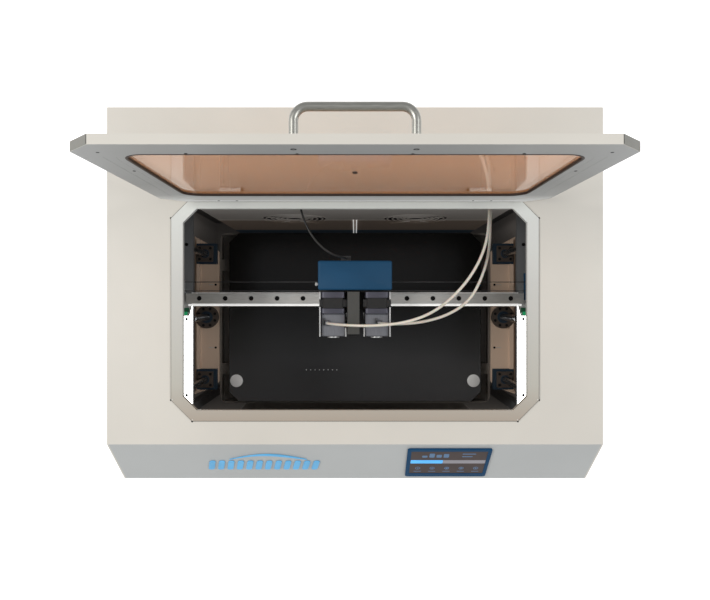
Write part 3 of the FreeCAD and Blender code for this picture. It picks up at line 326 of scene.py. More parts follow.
# the CAD nodes that stay visible, by their look
CAD_LOOKS = {
    "guide": "base_pan guide_frame", "console": "console_panel", "rim": "opening_rim",
    "body": "side_panels top_panel front_panel rear_panel lid_frame door_frame",
    "liner": "door_tunnel", "walls": "chamber_walls", "heater": "heater_cover", "lamp": "light_bars",
    "black": "fan_frames power_inlet power_switch spool_arms line_fittings",
    "plate": "electronics beam_brackets y_idler_pulleys x_drive_pulley x_idler_pulley",
    "steel": "hinge_leaves y_drive_shaft", "steel_y": "y_rails y_carriages",
    "steel_z": "z_guides door_handle z_drive_pulley", "belt_x": "x_belt", "belt_y": "drive_belts",
    "beam": "x_beam", "rail": "x_rail", "block": "drive_motors",
    "column": "head_carriage", "tray": "bed_tray", "tan": "bed_brackets",
    "lid_inside": "lid_inner_sheet", "handle": "lid_handle",
    "screw_left": "ball_screw_left", "screw_right": "ball_screw_right",
}
# the CAD nodes with an eased edge, by its width in millimetres
EDGES = {
    0.3: "rear_panel", 0.4: "top_panel console_panel x_rail guide_frame hinge_leaves beam_brackets",
    0.5: "front_panel opening_rim bed_brackets x_beam power_inlet",
    0.6: "side_panels bed_tray head_carriage", 0.8: "lid_frame spool_arms", 1.0: "door_frame light_bars",
}


def rounded(thing, width, angle):
    """Ease every edge sharper than the angle in degrees, by a width in millimetres."""
    edge = thing.modifiers.new("edge", "BEVEL")
    edge.width = width * MM
    edge.segments = 2
    edge.limit_method = "ANGLE"
    edge.angle_limit = math.radians(angle)


def dress(thing, material):
    """Give a CAD node its material."""
    for used in thing.material_slots:
        used.material = material
    if not thing.material_slots:
        thing.data.materials.append(material)


for cad_look, cad_nodes in CAD_LOOKS.items():
    for cad_node in cad_nodes.split():
        dress(nodes[cad_node], M[cad_look])
for edge_width, cad_nodes in EDGES.items():
    for cad_node in cad_nodes.split():
        rounded(nodes[cad_node], edge_width, 30)


# ---- camera ----
EYE_HEIGHT = 801.0  # of the lens above the top face
FOCAL = 31.2
camera_data = bpy.data.cameras.new("camera")
camera_data.lens = FOCAL
camera_data.sensor_width = 36.0
camera_data.clip_start = 0.01
camera = bpy.data.objects.new("camera", camera_data)
camera.location = at(0, 0, TOP + EYE_HEIGHT)
bpy.context.scene.collection.objects.link(camera)
bpy.context.scene.camera = camera


# ---- mesh building ----
# takes local Z to the named axis
TURN = {
    "X": Matrix(((0, 0, 1, 0), (1, 0, 0, 0), (0, 1, 0, 0), (0, 0, 0, 1))),
    "Y": Matrix(((1, 0, 0, 0), (0, 0, 1, 0), (0, -1, 0, 0), (0, 0, 0, 1))),
    "Z": Matrix.Identity(4),
}


def round_rect(x0, x1, y0, y1, radius, steps=6):
    """Corner points of a rounded rectangle, anticlockwise."""
    points = []
    corners = ((x1 - radius, y1 - radius, 0), (x0 + radius, y1 - radius, 90),
               (x0 + radius, y0 + radius, 180), (x1 - radius, y0 + radius, 270))
    for cx, cy, start in corners:
        for i in range(steps + 1):
            angle = math.radians(start + 90 * i / steps)
            points.append((cx + radius * math.cos(angle), cy + radius * math.sin(angle)))
    return points


def circle(radius, sides=32, cx=0.0, cy=0.0):
    """Corner points of a circle, anticlockwise."""
    angles = [2 * math.pi * i / sides for i in range(sides)]
    return [(cx + radius * math.cos(a), cy + radius * math.sin(a)) for a in angles]


class Piece:
    """Collects solids in the machine's own millimetres into one mesh, each with its material."""

    def __init__(self, name, *looks):
        self.name, self.looks, self.bm = name, looks, bmesh.new()
        self.index = 0

    def use(self, look):
        self.index = self.looks.index(look)
        return self

    def loft(self, rings, matrix=Matrix.Identity(4), closed=False):
        """Skin between rings of equally many points; closed joins the last ring to the first."""
        rows = [[self.bm.verts.new(matrix @ Vector(p)) for p in ring] for ring in rings]
        count = len(rows[0])
        pairs = list(zip(rows, rows[1:])) + ([(rows[-1], rows[0])] if closed else [])
        faces = []
        for low, high in pairs:
            for i in range(count):
                j = (i + 1) % count
                faces.append(self.bm.faces.new((low[i], low[j], high[j], high[i])))
        if not closed:
            faces.append(self.bm.faces.new(rows[0][::-1]))
            faces.append(self.bm.faces.new(rows[-1]))
        for face in faces:
            face.material_index = self.index
        return self

    def slab(self, outline, low, high, axis="Z", place=(0, 0, 0)):
        """An outline in the plane across an axis, as a solid from low to high along it."""
        matrix = Matrix.Translation(place) @ TURN[axis]
        return self.loft([[(x, y, low) for x, y in outline], [(x, y, high) for x, y in outline]], matrix)

    def box(self, x0, x1, y0, y1, z0, z1):
        outline = ((x1, y1), (x0, y1), (x0, y0), (x1, y0))
        return self.slab(outline, z0, z1)

    def side_box(self, sign, near, far, *sizes):
        """A box between two distances from the middle, on the right for 1 and on the left for -1."""
        return self.box(*sorted((sign * near, sign * far)), *sizes)

    def rod(self, x, y, z, radius, length, axis="Z", sides=32, end=None):
        end = radius if end is None else end
        matrix = Matrix.Translation((x, y, z)) @ TURN[axis]
        rings = [[(px, py, 0) for px, py in circle(radius, sides)],
                 [(px, py, length) for px, py in circle(end, sides)]]
        return self.loft(rings, matrix)

    def turned(self, x, y, z, profile, axis="Z", sides=32):
        """A lathe piece: profile is a list of (radius, height), from one end to the other."""
        matrix = Matrix.Translation((x, y, z)) @ TURN[axis]
        return self.loft([[(px, py, h) for px, py in circle(r, sides)] for r, h in profile], matrix)

    def tube_ring(self, outer, inner, low, high, axis="Z", place=(0, 0, 0)):
        """A frame between two outlines with equally many points."""
        matrix = Matrix.Translation(place) @ TURN[axis]
        rings = [[(x, y, h) for x, y in line] for line, h in
                 ((outer, low), (outer, high), (inner, high), (inner, low))]
        return self.loft(rings, matrix, closed=True)

    def cap_screw(self, x, y, z, radius, height, axis="Z", sign=1):
        """A cap screw's head with its round socket, seated at the given point."""
        top = height * sign
        head = [(radius, 0), (radius, top * 0.85), (radius * 0.88, top)]
        socket = [(radius * 0.5, top), (radius * 0.5, top * 0.45)]
        return self.turned(x, y, z, head + socket, axis, 18)

    def done(self, body, replaces=(), bevel=0.0, angle=35):
        bmesh.ops.recalc_face_normals(self.bm, faces=self.bm.faces)
        mesh = bpy.data.meshes.new(self.name)
        self.bm.to_mesh(mesh)
        self.bm.free()
        for vertex in mesh.vertices:
            vertex.co = at(*vertex.co)
        for look in self.looks:
            mesh.materials.append(M[look])
        made = bpy.data.objects.new(self.name, mesh)
        bpy.context.scene.collection.objects.link(made)
        if bevel:
            rounded(made, bevel, angle)
        mesh.shade_smooth()
        mesh.set_sharp_from_angle(angle=math.radians(angle))
        if body:
            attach(made, body)
        if replaces:
            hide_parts(*replaces)
        return made


# ---- filament tubes and head cable ----
ROUTE_A = [(186, 220, 552), (186.5, 168, 553), (187, 114, 554), (181, 75, 560), (163, 38, 566),
           (136, 5.5, 570), (104, -19, 570), (66, -32, 567), (22, -36, 559), (-10, -35.5, 547),
           (-31, -34.5, 531), (-40, -34, 516), (-40.5, -34, 505.3)]
ROUTE_B = [(195, 220, 538), (194.5, 168, 539), (191, 112, 541), (188.5, 70, 548), (177, 33, 556),
           (159, -1, 559), (129, -21, 557), (95, -31, 550), (66, -34, 539), (46, -34.5, 525),
           (37, -34, 513), (36.1, -34, 505.4)]
CABLE = [(-84, 217, 545), (-83, 172, 548), (-77, 130, 550), (-67, 100, 553), (-51, 77, 553),
         (-33, 64, 545), (-18, 61, 532), (-13.5, 61, 517), (-13, 61, 502.2)]


def spline_points(name, route):
    """Points along the smooth NURBS line that has the route's points as its control points."""
    curve = bpy.data.curves.new(name, "CURVE")
    curve.dimensions = "3D"
    spline = curve.splines.new("NURBS")
    spline.points.add(len(route) - 1)
    for point, place in zip(spline.points, route):
        point.co = (*place, 1.0)
    spline.order_u = 3
    spline.use_endpoint_u = True
    curve.resolution_u = 8
    holder = bpy.data.objects.new(name, curve)
    bpy.context.scene.collection.objects.link(holder)
    bpy.context.view_layer.update()
    mesh = bpy.data.meshes.new_from_object(holder.evaluated_get(bpy.context.evaluated_depsgraph_get()))
    points = [v.co.copy() for v in mesh.vertices]
    bpy.data.objects.remove(holder)
    bpy.data.meshes.remove(mesh)
    return points


def flexible(name, points, radius, look, replaced):
    """A round line swept along points."""
    piece = Piece(name, look)
    rings = []
    side = Vector((0, 0, 1)).cross(points[1] - points[0]).normalized()
    for i, point in enumerate(points):
        along = (points[min(i + 1, len(points) - 1)] - points[max(i - 1, 0)]).normalized()
        side = (side - along * side.dot(along)).normalized()
        other = along.cross(side)
        rings.append([point + (side * x + other * y) for x, y in circle(radius, 16)])
    piece.loft(rings)
    made = piece.done(None, (replaced,), angle=60)
    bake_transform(made)
    length = sum((b - a).length for a, b in zip(points, points[1:]))
    print(name, "length", round(length * MM, 4))


def head_line(name, route, radius, look, reaches_front):
    """One line from its fitting to the head: a rear half to the gantry and a front half to the head."""
    points = spline_points(name, route)
    cut = next(i for i, p in enumerate(points) if reaches_front(p))
    flexible(name + "_rear", points[:cut + 1], radius, look, "head_lines_rear")
    flexible(name + "_front", points[cut:], radius, look, "head_lines_front")


head_line("filament_tube_a", ROUTE_A, 2.0, "tube", lambda p: p.x < 148)
head_line("filament_tube_b", ROUTE_B, 2.0, "tube", lambda p: p.x < 148)
head_line("head_cable", CABLE, 1.5, "cable", lambda p: p.y < 66)


# ---- cabinet ----
def rim_seam():
    """The seam round the rim with its shadow painted in, and the relief holes and painted glints at its
    folded corners.
    """
    x0, x1, y0, y1 = limits("opening_rim")[:4]
    cut = 27.0

    def outline(step):
        c = cut + step * 0.6
        return [(x1 + step, y1 + step - c), (x1 + step - c, y1 + step), (x0 - step + c, y1 + step),
                (x0 - step, y1 + step - c), (x0 - step, y0 - step + c), (x0 - step + c, y0 - step),
                (x1 + step - c, y0 - step), (x1 + step, y0 - step + c)]

    # a dark ring along the seam round the rim: a real gap, with its shadow painted in
    piece = Piece("rim_shadow_gap", "seam", "screw")
    piece.tube_ring(outline(1.3), outline(-0.1), TOP - 0.05, TOP + 0.2)
    piece.use("screw")
    for x, y in outline(1.2):
        piece.rod(x, y, TOP - 0.05, 1.2, 0.25, sides=16)
    piece.done("cabinet")
    # white dots in the rim's folded corners: painted glints
    bead = Piece("rim_corner_glints", "white")
    for x, y in outline(-1.4):
        bead.rod(x, y, RIM_TOP - 0.2, 0.8, 0.45, sides=12, end=0.4)
    bead.done("cabinet")


UP_SLOPE = Vector((0, 61.5, 62)).normalized()
OUT_SLOPE = Vector((0, -UP_SLOPE.z, UP_SLOPE.y))
console_y0, console_y1 = limits("console_panel")[2:4]
SLOPE_START = Vector((0, console_y0, TOP - (console_y1 - console_y0) + 0.8))


def on_slope(x, s, n):
    """A point s up the console's slope from its front edge and n out of its face."""
    return Vector((x, 0, 0)) + SLOPE_START + UP_SLOPE * s + OUT_SLOPE * n


def slope_slab(piece, outline, low, high):
    """A plate on the sloped console, from low to high off it."""
    rings = [[on_slope(x, s, n) for x, s in outline] for n in (low, high)]
    return piece.loft(rings)


def touch_screen():
    """Bezel, glass and a generic interface: small bars, two lines, a progress bar and five icons."""
    left, right, bottom, top = 69.4, 180.6, 8.3, 79.0
    x0, x1, s0, s1 = left + 5.0, right - 5.0, bottom + 9.2, top - 5.1
    bezel = Piece("screen_bezel", "bezel")
    outer, inner = round_rect(left, right, bottom, top, 3.0), round_rect(x0, x1, s0, s1, 1.2)
    ease = 0.8
    crest = round_rect(left + ease, right - ease, bottom + ease, top - ease, 2.4)
    rings = [[on_slope(x, s, n) for x, s in line] for line, n in
             ((outer, 0.0), (outer, 1.6), (crest, 2.2), (inner, 2.2), (inner, 0.2))]
    bezel.loft(rings, closed=True)
    bezel.done("cabinet", ("touch_screen",))
    glass = Piece("screen_glass", "screen")
    slope_slab(glass, round_rect(x0 - 0.5, x1 + 0.5, s0 - 0.5, s1 + 0.5, 1.4), 0.4, 1.7)
    glass.done("cabinet", ("touch_screen",))
    shown = Piece("screen_picture", "ui_dark", "ui_blue", "ui_grey", "ui_dim")
    under, over = 1.78, 1.86
    slope_slab(shown, round_rect(x0 + 0.2, x1 - 0.2, s0 + 0.2, s1 - 0.2, 1.0), 1.7, under)
    split, bar = x0 + 0.43 * (x1 - x0), (s0 + 26.0, s0 + 34.3)
    shown.use("ui_blue")
    slope_slab(shown, round_rect(x0 + 0.4, split, *bar, 0.5), under, over)
    shown.use("ui_grey")
    slope_slab(shown, round_rect(split, x1 - 0.4, *bar, 0.5), under, over)
    shown.use("ui_dim")
    icon_pitch = 19.8
    for i, sides in enumerate((3, 4, 24, 6, 4)):
        x, s = (x0 + x1) / 2 + (i - 2) * icon_pitch, s0 + 13.5
        rings = [[on_slope(x + px, s + ps, n) for px, ps in circle(radius, 24)] for radius, n in
                 ((3.4, under), (3.4, over), (2.6, over), (2.6, under))]
        shown.loft(rings, closed=True)
        slope_slab(shown, [(x + px, s + ps) for px, ps in circle(1.7, sides)], under, over)
        slope_slab(shown, round_rect(x - 5, x + 5, s0 + 4.6, s0 + 5.8, 0.5), under, over)
    for s, width in ((s0 + 49, 18.0), (s0 + 42.5, 14.0)):
        slope_slab(shown, round_rect(x0 + 68, x0 + 68 + width, s, s + 1.8, 0.8), under, over)
    for i, height in enumerate((5, 10, 7, 9)):
        x = x0 + 15 + 9.5 * i
        slope_slab(shown, round_rect(x, x + 7, s0 + 41, s0 + 41 + height, 1.5), under, over)
    shown.done("cabinet", ("touch_screen",))


def badge():
    """A generic raised mark: a row of slanted tiles under a slim arc."""
    x0, x1, s0, s1 = -201.5, -47.5, 23.0, 65.0
    piece = Piece("console_badge", "badge")
    count, gap, slant, tall = 12, 4.5, 5.0, 22.0
    width = (x1 - x0 - slant - gap * (count - 1)) / count
    for i in range(count):
        a = x0 + i * (width + gap)
        tile = round_rect(a, a + width, s0 + 3, s0 + 3 + tall, 3.2)
        slope_slab(piece, [(x + slant * (s - s0) / tall, s) for x, s in tile], 0, 1.2)
    span, steps = x1 - x0 - 50, 24
    upper, lower = [], []
    for i in range(steps + 1):
        t = i / steps
        rise = math.sin(math.pi * t)
        upper.append((x0 + 33 + span * t, s1 - 13 + 13 * rise))
        lower.append((x0 + 33 + span * t, s1 - 13.6 + (11.6 - 4.6 * t) * rise))
    slope_slab(piece, lower + upper[::-1], 0, 1.2)
    piece.done("cabinet", ("badge",), bevel=0.25)


def chamber_details():
    """Screws of the guide plates, lamps and rails, fan guards and the sensor lead."""
    screws = Piece("guide_screws", "screw")
    plate_seat, lamp_seat, rail_seat = 431.5, 437.5, 440.5
    for sign in (-1, 1):
        for y in (88, 160):
            screws.cap_screw(sign * 267, y, plate_seat, 2.5, 3.2)
        for y in (-150, -30):
            screws.cap_screw(sign * 265.5, y, lamp_seat, 2.4, 1.6)
        for i in range(9):
            screws.cap_screw(sign * 290, -152 + 40 * i, rail_seat, 2.6, 0.25)
    screws.done("cabinet")
    y0 = limits("heater_cover")[2]
    guards = Piece("fan_guards", "heater")
    wire, bar_half, bar_middle = 1.1, 23, 36
    bar = [(-bar_half, -0.9), (bar_half, -0.9), (bar_half, 0.9), (-bar_half, 0.9)]
    for x in (-FAN_X, FAN_X):
        for radius in (14, 23, 32, 41, 50, 57):
            outer, inner = circle(radius + wire, 40), circle(radius - wire, 40)
            guards.tube_ring(outer, inner, -0.6, 0.8, "Y", (x, y0, FAN_Z))
        for k in range(4):
            angle = math.pi * (k + 0.5) / 2
            cx, cz = x + bar_middle * math.cos(angle), FAN_Z + bar_middle * math.sin(angle)
            turn = Matrix.Rotation(-angle, 4, "Y") @ TURN["Y"]
            for low in (-3.6, -2.6):
                rings = [[(px, py, h) for px, py in bar] for h in (low, low + 0.6)]
                guards.loft(rings, Matrix.Translation((cx, y0, cz)) @ turn)
    guards.done("cabinet", bevel=0.2)
    # the sensor lead glows with a painted highlight
    lead = Piece("sensor_lead", "painted_glare")
    for x in (-2.9, 2.9):
        lead.rod(x, y0 - 1.2, 100, 1.0, 204, sides=10)
    lead.done("cabinet", bevel=0.2)


def fans():
    """Fan rotors with seven swept blades on a hub."""
    blades, stations = 7, 6
    section = ((0, 0), (0.33, 0.9), (0.66, 0.9), (1, 0), (0.66, -0.5), (0.33, -0.5))
    for side, sign in (("left", -1), ("right", 1)):
        y0, y1 = limits("fan_rotor_" + side)[2:4]
        cx, cz = sign * FAN_X, FAN_Z
        piece = Piece("fan_wheel_" + side, "black")
        piece.turned(cx, y0, cz, [(17, 0), (19.5, 1.2), (20, 3), (20, y1 - y0)], "Y", 40)
        for k in range(blades):
            rings = []
            for i in range(stations + 1):
                out = i / stations
                r, depth = 18 + 36 * out, 12 - 3 * out
                front, chord = 2 * math.pi * k / blades + 0.35 * out, 0.62 + 0.10 * out
                ring = []
                for t, thick in section:
                    a, y = front + chord * t, y0 + 2.5 + depth * t + thick
                    ring.append((cx + r * math.cos(a), y, cz + r * math.sin(a)))
                rings.append(ring)
            piece.loft(rings)
        piece.done(side + "_fan", ("fan_rotor_" + side,), angle=50)


def feet_and_fastenings():
    """Rubber feet, and the screws of the rear and side panels."""
    feet = Piece("rubber_feet", "rubber")
    profile = [(16.5, 0), (18.5, 1.5), (19, 4), (18, 5.5), (19.2, 7), (20, 12)]
    for x in (-270, 270):
        for y in (-200, 200):
            feet.turned(x, y, 0, profile, sides=40)
    feet.done("cabinet", ("feet",))
    x0, x1, _, y1, z0, z1 = limits("rear_panel")
    screws = Piece("panel_screws", "screw")
    for i in range(6):
        z = 40 + 106 * i
        for x in (x0 + 10, x1 - 10):
            screws.cap_screw(x, y1, z, 3.6, -2.2, "Y", -1)
    for i in range(5):
        for z in (z0 + 10, z1 - 10):
            screws.cap_screw(-240 + 120 * i, y1, z, 3.6, -2.2, "Y", -1)
    screws.done("cabinet")
    sides = Piece("side_screws", "screw")
    button = ((4.2, 0), (4.2, 0.8), (3.0, 1.8), (1.6, 1.8), (1.6, 0.9))
    side_x = 323
    for sign in (-1, 1):
        profile = [(radius, sign * height) for radius, height in button]
        for y in (-180, 0, 180):
            for z in (40, 330):
                sides.turned(sign * side_x, y, z, profile, "X", 20)
    sides.done("cabinet")


def hinge_details():
    """Screws of the lid's and the door's hinges, and sleeves with a painted glint and pins of the friction
    barrels.
    """
    hinges = Piece("hinge_screws", "screw")
    for sign in (-1, 1):
        for x in (167, 174):
            hinges.cap_screw(sign * x, 136.4, TOP + 1.5, 1.6, 1.0)
    for z in (108.5, 116.5, 373.5, 381.5):
        hinges.cap_screw(-256, -252, z, 2.4, 1.2, "Y", -1)
    hinges.done("cabinet")
    # the sleeves glow as a painted glint
    barrels = Piece("hinge_barrel_sleeves", "glinting_sleeve", "screw")
    length, ease = 29.0, 0.4
    sleeve = ((2.2, 0), (3.12, ease), (3.12, length - ease), (2.2, length))
    pin = ((1.2, 0), (1.95, 0.3), (1.95, 3.4))
    for sign in (-1, 1):
        for look, x, profile, sides in (("glinting_sleeve", 147.6, sleeve, 28), ("screw", 144.2, pin, 24)):
            outline = [(radius, sign * height) for radius, height in profile]
            barrels.use(look).turned(sign * x, BARREL_Y, BARREL_Z, outline, "X", sides)
    barrels.done("cabinet")


# ---- gantry and head ----
def gantry_details():
    """Rail screws, terminals at the beam's ends, a strip of painted glare on its edge, and the X motor with
    its shroud.
    """
    screws = Piece("rail_screws", "screw")
    hole_pitch = 40
    for i in range(-6, 7):
        screws.cap_screw(hole_pitch * i, RAIL_Y, 457.2, 3.5, 3.2)
    screws.done("gantry")
    ends = Piece("end_terminals", "plate", "green", "board")
    board_top = 453.4
    for sign in (-1, 1):
        ends.use("board").side_box(sign, 257.5, 266, -24, -12, 452, board_top)
        # the green part glows as painted light
        ends.use("green").side_box(sign, 260, 265, -23.4, -18.2, board_top, 458)
        ends.use("plate").side_box(sign, 258.0, 259.4, -23, -19, board_top, 455.5)
    ends.done("gantry", bevel=0.25)
    # a glowing strip on the beam's front edge: painted glare of the lamp bars
    trim = Piece("beam_edge", "painted_glare")
    trim.box(-259, 259, -9.4, -6.2, 449.5, board_top)
    trim.done("gantry", bevel=0.3)
    body = Piece("x_motor_body", "stack", "cap", "blue")
    x, y, z, half = 286, 20.5, 484, 21
    for look, low, high, inset, corner in (("cap", 0, 9, 0, 4), ("stack", 9, 25, 0.4, 5),
                                           ("cap", 25, 34, 0, 4)):
        side = half - inset
        outline = round_rect(x - side, x + side, y - side, y + side, corner)
        body.use(look).slab(outline, z + low, z + high)
    body.use("blue")
    for front, back, low, high in ((-0.5, 41.5, 452, 469), (-0.5, 10, 469, z), (31, 41.5, 469, z),
                                   (10, 31, 481, z)):
        body.box(262, 264, front, back, low, high)
    body.done("gantry", ("x_motor",), bevel=0.4)


def extruder_motors():
    """Two small square steppers: machined caps, a laminated stack and the black band round it."""
    x1, y0, y1, z0, z1 = limits("extruder_motors")[1:]
    middle_z = (z0 + z1) / 2
    half = (z1 - z0) / 2
    front, back = y0 + 7.7, y1 - 9.1
    layers = (("cap", back, y1, 0.0, 4.0), ("stack", front, back, 0.3, 6.5), ("cap", y0, front, 0.0, 4.0))
    piece = Piece("feeder_steppers", "cap", "stack")
    for sign in (-1, 1):
        x = sign * (x1 - half)
        for look, a, b, inset, corner in layers:
            side = half - inset
            outline = round_rect(-side, side, -side, side, corner, 3)
            piece.use(look).slab(outline, a, b, "Y", (x, 0, middle_z))
        band_end = 20.6 if sign > 0 else 20.7
        piece.use("stack").box(x - 20.2, x + band_end, -10.4, 1.0, 506.1, 507.4)
        piece.box(x - 14.3, x + 14.3, -12.3, 2.9, 507.0, 508.6)
    piece.done("head", ("extruder_motors",), bevel=0.5)


def feeders():
    """Side plates, gear blocks, tube inlets and the small clips beside them."""
    piece = Piece("feeder_side_plates", "plate")
    outer = [(-54, 432), (-20, 432), (-17, 471), (12, 471), (12, 506), (-54, 506)]
    inner = [(-54, 432), (-20, 432), (-20, 455), (-31, 470), (-41, 504), (-54, 504)]
    for x, outline in ((-52.5, outer), (-14.5, inner), (12.5, inner), (50.5, outer)):
        piece.loft([[(x + step, y, z) for y, z in outline] for step in (0, 2)])
    piece.done("head", ("feeders",), bevel=0.35)
    blocks = Piece("gear_blocks", "block", "plate")
    for sign in (-1, 1):
        x = sign * FEEDER_X
        blocks.use("block").box(x - 17.5, x + 17.5, -54, -20, 466, 498.6)
        blocks.box(x - 17.0, x + 17.0, -53.2, -21.5, 498.6, 500.4)
        blocks.use("plate").turned(x, -54, 486, [(9, 0), (9, -2.2), (4, -2.6)], "Y", 30)
    blocks.done("head", ("feeders",), bevel=0.6)
    inlets = Piece("tube_inlets", "black", "block")
    inlet_z = 500.3
    profile = [(4.6, 0), (4.6, 2.6), (3.6, 3.4), (3.0, 4.6), (2.2, 4.8)]
    for x in (-40.5, 36.1):
        inlets.use("block").turned(x, -34, inlet_z, profile)
        inlets.use("black").box(x - 5.9, x - 4.9, -37.5, -26.5, inlet_z, 505)
    inlets.box(52.5, 57.5, -31.5, -30.3, 499, 502).box(52.5, 57.5, -35.5, -34.3, 499, 502)
    inlets.box(56.3, 57.5, -35.5, -30.3, 499, 502)
    inlets.done("head", ("feeders",), bevel=0.2)


def hotends():
    """Finned heat sinks, sleeved heater blocks and brass nozzles."""
    piece = Piece("hot_ends", "plate", "black", "brass", "steel_z")
    y, fin_pitch = -38, 3.9
    fin = [(10.4, 0), (11, 0.3), (11, 1.3), (10.4, 1.6)]
    nozzle = [(0.6, 0), (1.4, 0.2), (3.4, 3.0), (3.4, 4.4)]
    for x in (-FEEDER_X, FEEDER_X):
        piece.use("plate").turned(x, y, 430.6, [(4.2, 0), (4.2, 35.4)])
        for i in range(9):
            piece.turned(x, y, 431.6 + fin_pitch * i, fin, sides=36)
        piece.use("steel_z").turned(x, y, 420.5, [(2.2, 0), (2.2, 10.2)], sides=20)
        piece.use("black").box(x - 8.4, x + 8.4, -50.4, -25.6, 409.6, 421)
        piece.use("brass").turned(x, y, 402, nozzle, sides=24)
        piece.turned(x, y, 406.4, [(4.0, 0), (4.0, 3.2)], sides=6)
    piece.done("head", ("hotends",), bevel=0.3)


def head_cover():
    """The blue cover with soft corners, its bead and screws, the cable's socket and the part fan."""
    x0, x1, y0, y1, z0, z1 = limits("head_cover")
    back = 57.2
    cover = Piece("head_cover_shell", "blue", "black")

    def line(step, radius):
        return round_rect(x0 + step, x1 - step, y0 + step, back - step, radius)

    rings = [(0.0, 3.0, z0), (0.0, 3.0, z1 - 2.4), (0.7, 2.6, z1 - 0.7), (2.4, 2.0, z1)]
    skin = [[(x, y, z) for x, y in line(step, radius)] for step, radius, z in rings]
    inside = [[(x, y, z) for x, y in line(2.0, 2.0)] for z in (z1 - 2.0, z0)]
    cover.loft(inside + skin)
    cover.use("black").box(-21, -6, back - 0.5, y1, 486, 502)
    cover.done("head", ("head_cover",), angle=50)
    bead = Piece("cover_side_bead", "white", "screw")
    profile = [(1.8, 0), (1.8, -2.2), (2.7, -2.5), (2.7, -4.4), (1.8, -5.0)]
    bead.turned(x0, 23.4, 500, profile, "X", 20)
    bead.use("screw")
    for x in (-44, 44):
        bead.cap_screw(x, back, 492, 2.2, -1.6, "Y", -1)
    bead.done("head")
    fan = Piece("part_fan", "black", "dark")
    fan.box(-9.5, 5.0, -53.5, -50, 442, 470)
    for i in range(5):
        fan.use("dark").box(-8.5, 4.0, -54.3, -53.5, 445 + 5 * i, 447.5 + 5 * i)
    fan.done("head", bevel=0.3)


# ---- bed ----
def bed():
    """The build plate with cut corners, its two discs and a row of dots."""
    x0, x1, y0, y1, z0, z1 = limits("bed_plate")
    top = z1 - 1.2
    cut = 17.0
    outline = [(x1, y1 - cut), (x1 - cut, y1), (x0 + cut, y1), (x0, y1 - cut),
               (x0, y0 + cut), (x0 + cut, y0), (x1 - cut, y0), (x1, y0 + cut)]
    plate = Piece("build_plate", "bed")
    plate.slab(outline, z0, top)
    plate.done("bed", ("bed_plate",), bevel=0.8)
    marks = Piece("plate_discs", "disc")
    for x in (-207, 207):
        marks.turned(x, -141, top, [(11, 0), (11, 0.8), (10.3, 1.2)], sides=40)
    for i in range(8):
        marks.rod(-85 + 7.6 * i, -122, top, 0.8, 0.12, sides=10)
    marks.done("bed", ("bed_plate",))


def bed_slides():
    """Bearing flanges on dark housings, and the ball nuts' round flanges."""
    piece = Piece("slide_bearings", "navy", "flange", "screw", "steel_z")
    bracket_top, block_top, flange_top = 322, 330, 334

    def collar(look, outer, inner, x, y, low, high, sides=32):
        rings = circle(outer, sides, x, y), circle(inner, sides, x, y)
        piece.use(look).tube_ring(*rings, low, high)

    def plate(look, outline, bore, x, y, low, high):
        angles = [math.atan2(py - y, px - x) for px, py in outline]
        inner = [(x + bore * math.cos(a), y + bore * math.sin(a)) for a in angles]
        piece.use(look).tube_ring(outline, inner, low, high)

    # the flange plates and the nuts' flanges take the darker tan of painted shade
    for sign in (-1, 1):
        x = sign * ROD_X
        for y in (81, -139):
            left, right = sorted((sign * 242, sign * 278))
            plate("navy", round_rect(left, right, y - 18, y + 18, 1.0, 2), 9.4, x, y, bracket_top, block_top)
            flange = round_rect(x - 14, x + 14, y - 14, y + 14, 1.5, 5)
            plate("flange", flange, ROD_BORE, x, y, block_top, flange_top)
            collar("navy", 7.6, ROD_BORE, x, y, flange_top, flange_top + 0.7)
            collar("steel_z", 9.3, ROD_BORE, x, y, 287, block_top)
            piece.use("screw")
            for dx in (-9.6, 9.6):
                for dy in (-9.6, 9.6):
                    piece.cap_screw(x + dx, y + dy, flange_top, 2.3, 1.3)
        x, y = sign * SCREW_X, SCREW_Y
        collar("flange", 20, SCREW_BORE, x, y, bracket_top, block_top, 48)
        collar("navy", 10.5, SCREW_BORE, x, y, block_top, block_top + 1.5, 48)
        collar("steel_z", 10.8, SCREW_BORE, x, y, 297, bracket_top, 48)
        piece.use("screw")
        for i in range(8):
            angle = math.pi * (i + 0.5) / 4
            across, along = 15.4 * math.cos(angle), 15.4 * math.sin(angle)
            piece.cap_screw(x + across, y + along, block_top - 0.6, 2.4, 1.4)
    piece.done("bed", ("bed_slides",), bevel=0.25)
    pins = Piece("bracket_pins", "screw", "plate")
    for sign in (-1, 1):
        for y in (27, -84):
            pins.use("screw").rod(sign * 246, y, bracket_top, 1.9, 1.0, sides=16)
            pins.use("plate").side_box(sign, 249, 258, y - 0.5, y + 0.5, bracket_top, bracket_top + 0.6)
    pins.done("bed")


# ---- lid and door ----
def window(name, body, x0, x1, z0, z1, radius, y_in, y_out, pane, look, replaced):
    """A tinted pane in a U-section rubber gasket, upright in the XZ plane."""
    def line(step):
        return round_rect(x0 - step, x1 + step, z0 - step, z1 + step, radius + step, 8)

    seal = Piece(name + "_gasket", "gasket")
    lip = 2.5
    rings = [[(x, h, z) for x, z in line(step)] for step, h in
             ((0, y_in + 1.0), (0, y_out), (-lip, y_out), (-lip, y_in + 1.0))]
    seal.loft(rings, closed=True)
    seal.done(body, (replaced,), bevel=0.3)
    glass = Piece(name + "_pane", look)
    glass.loft([[(x, h, z) for x, z in line(-0.3)] for h in pane])
    glass.done(body, (replaced,))


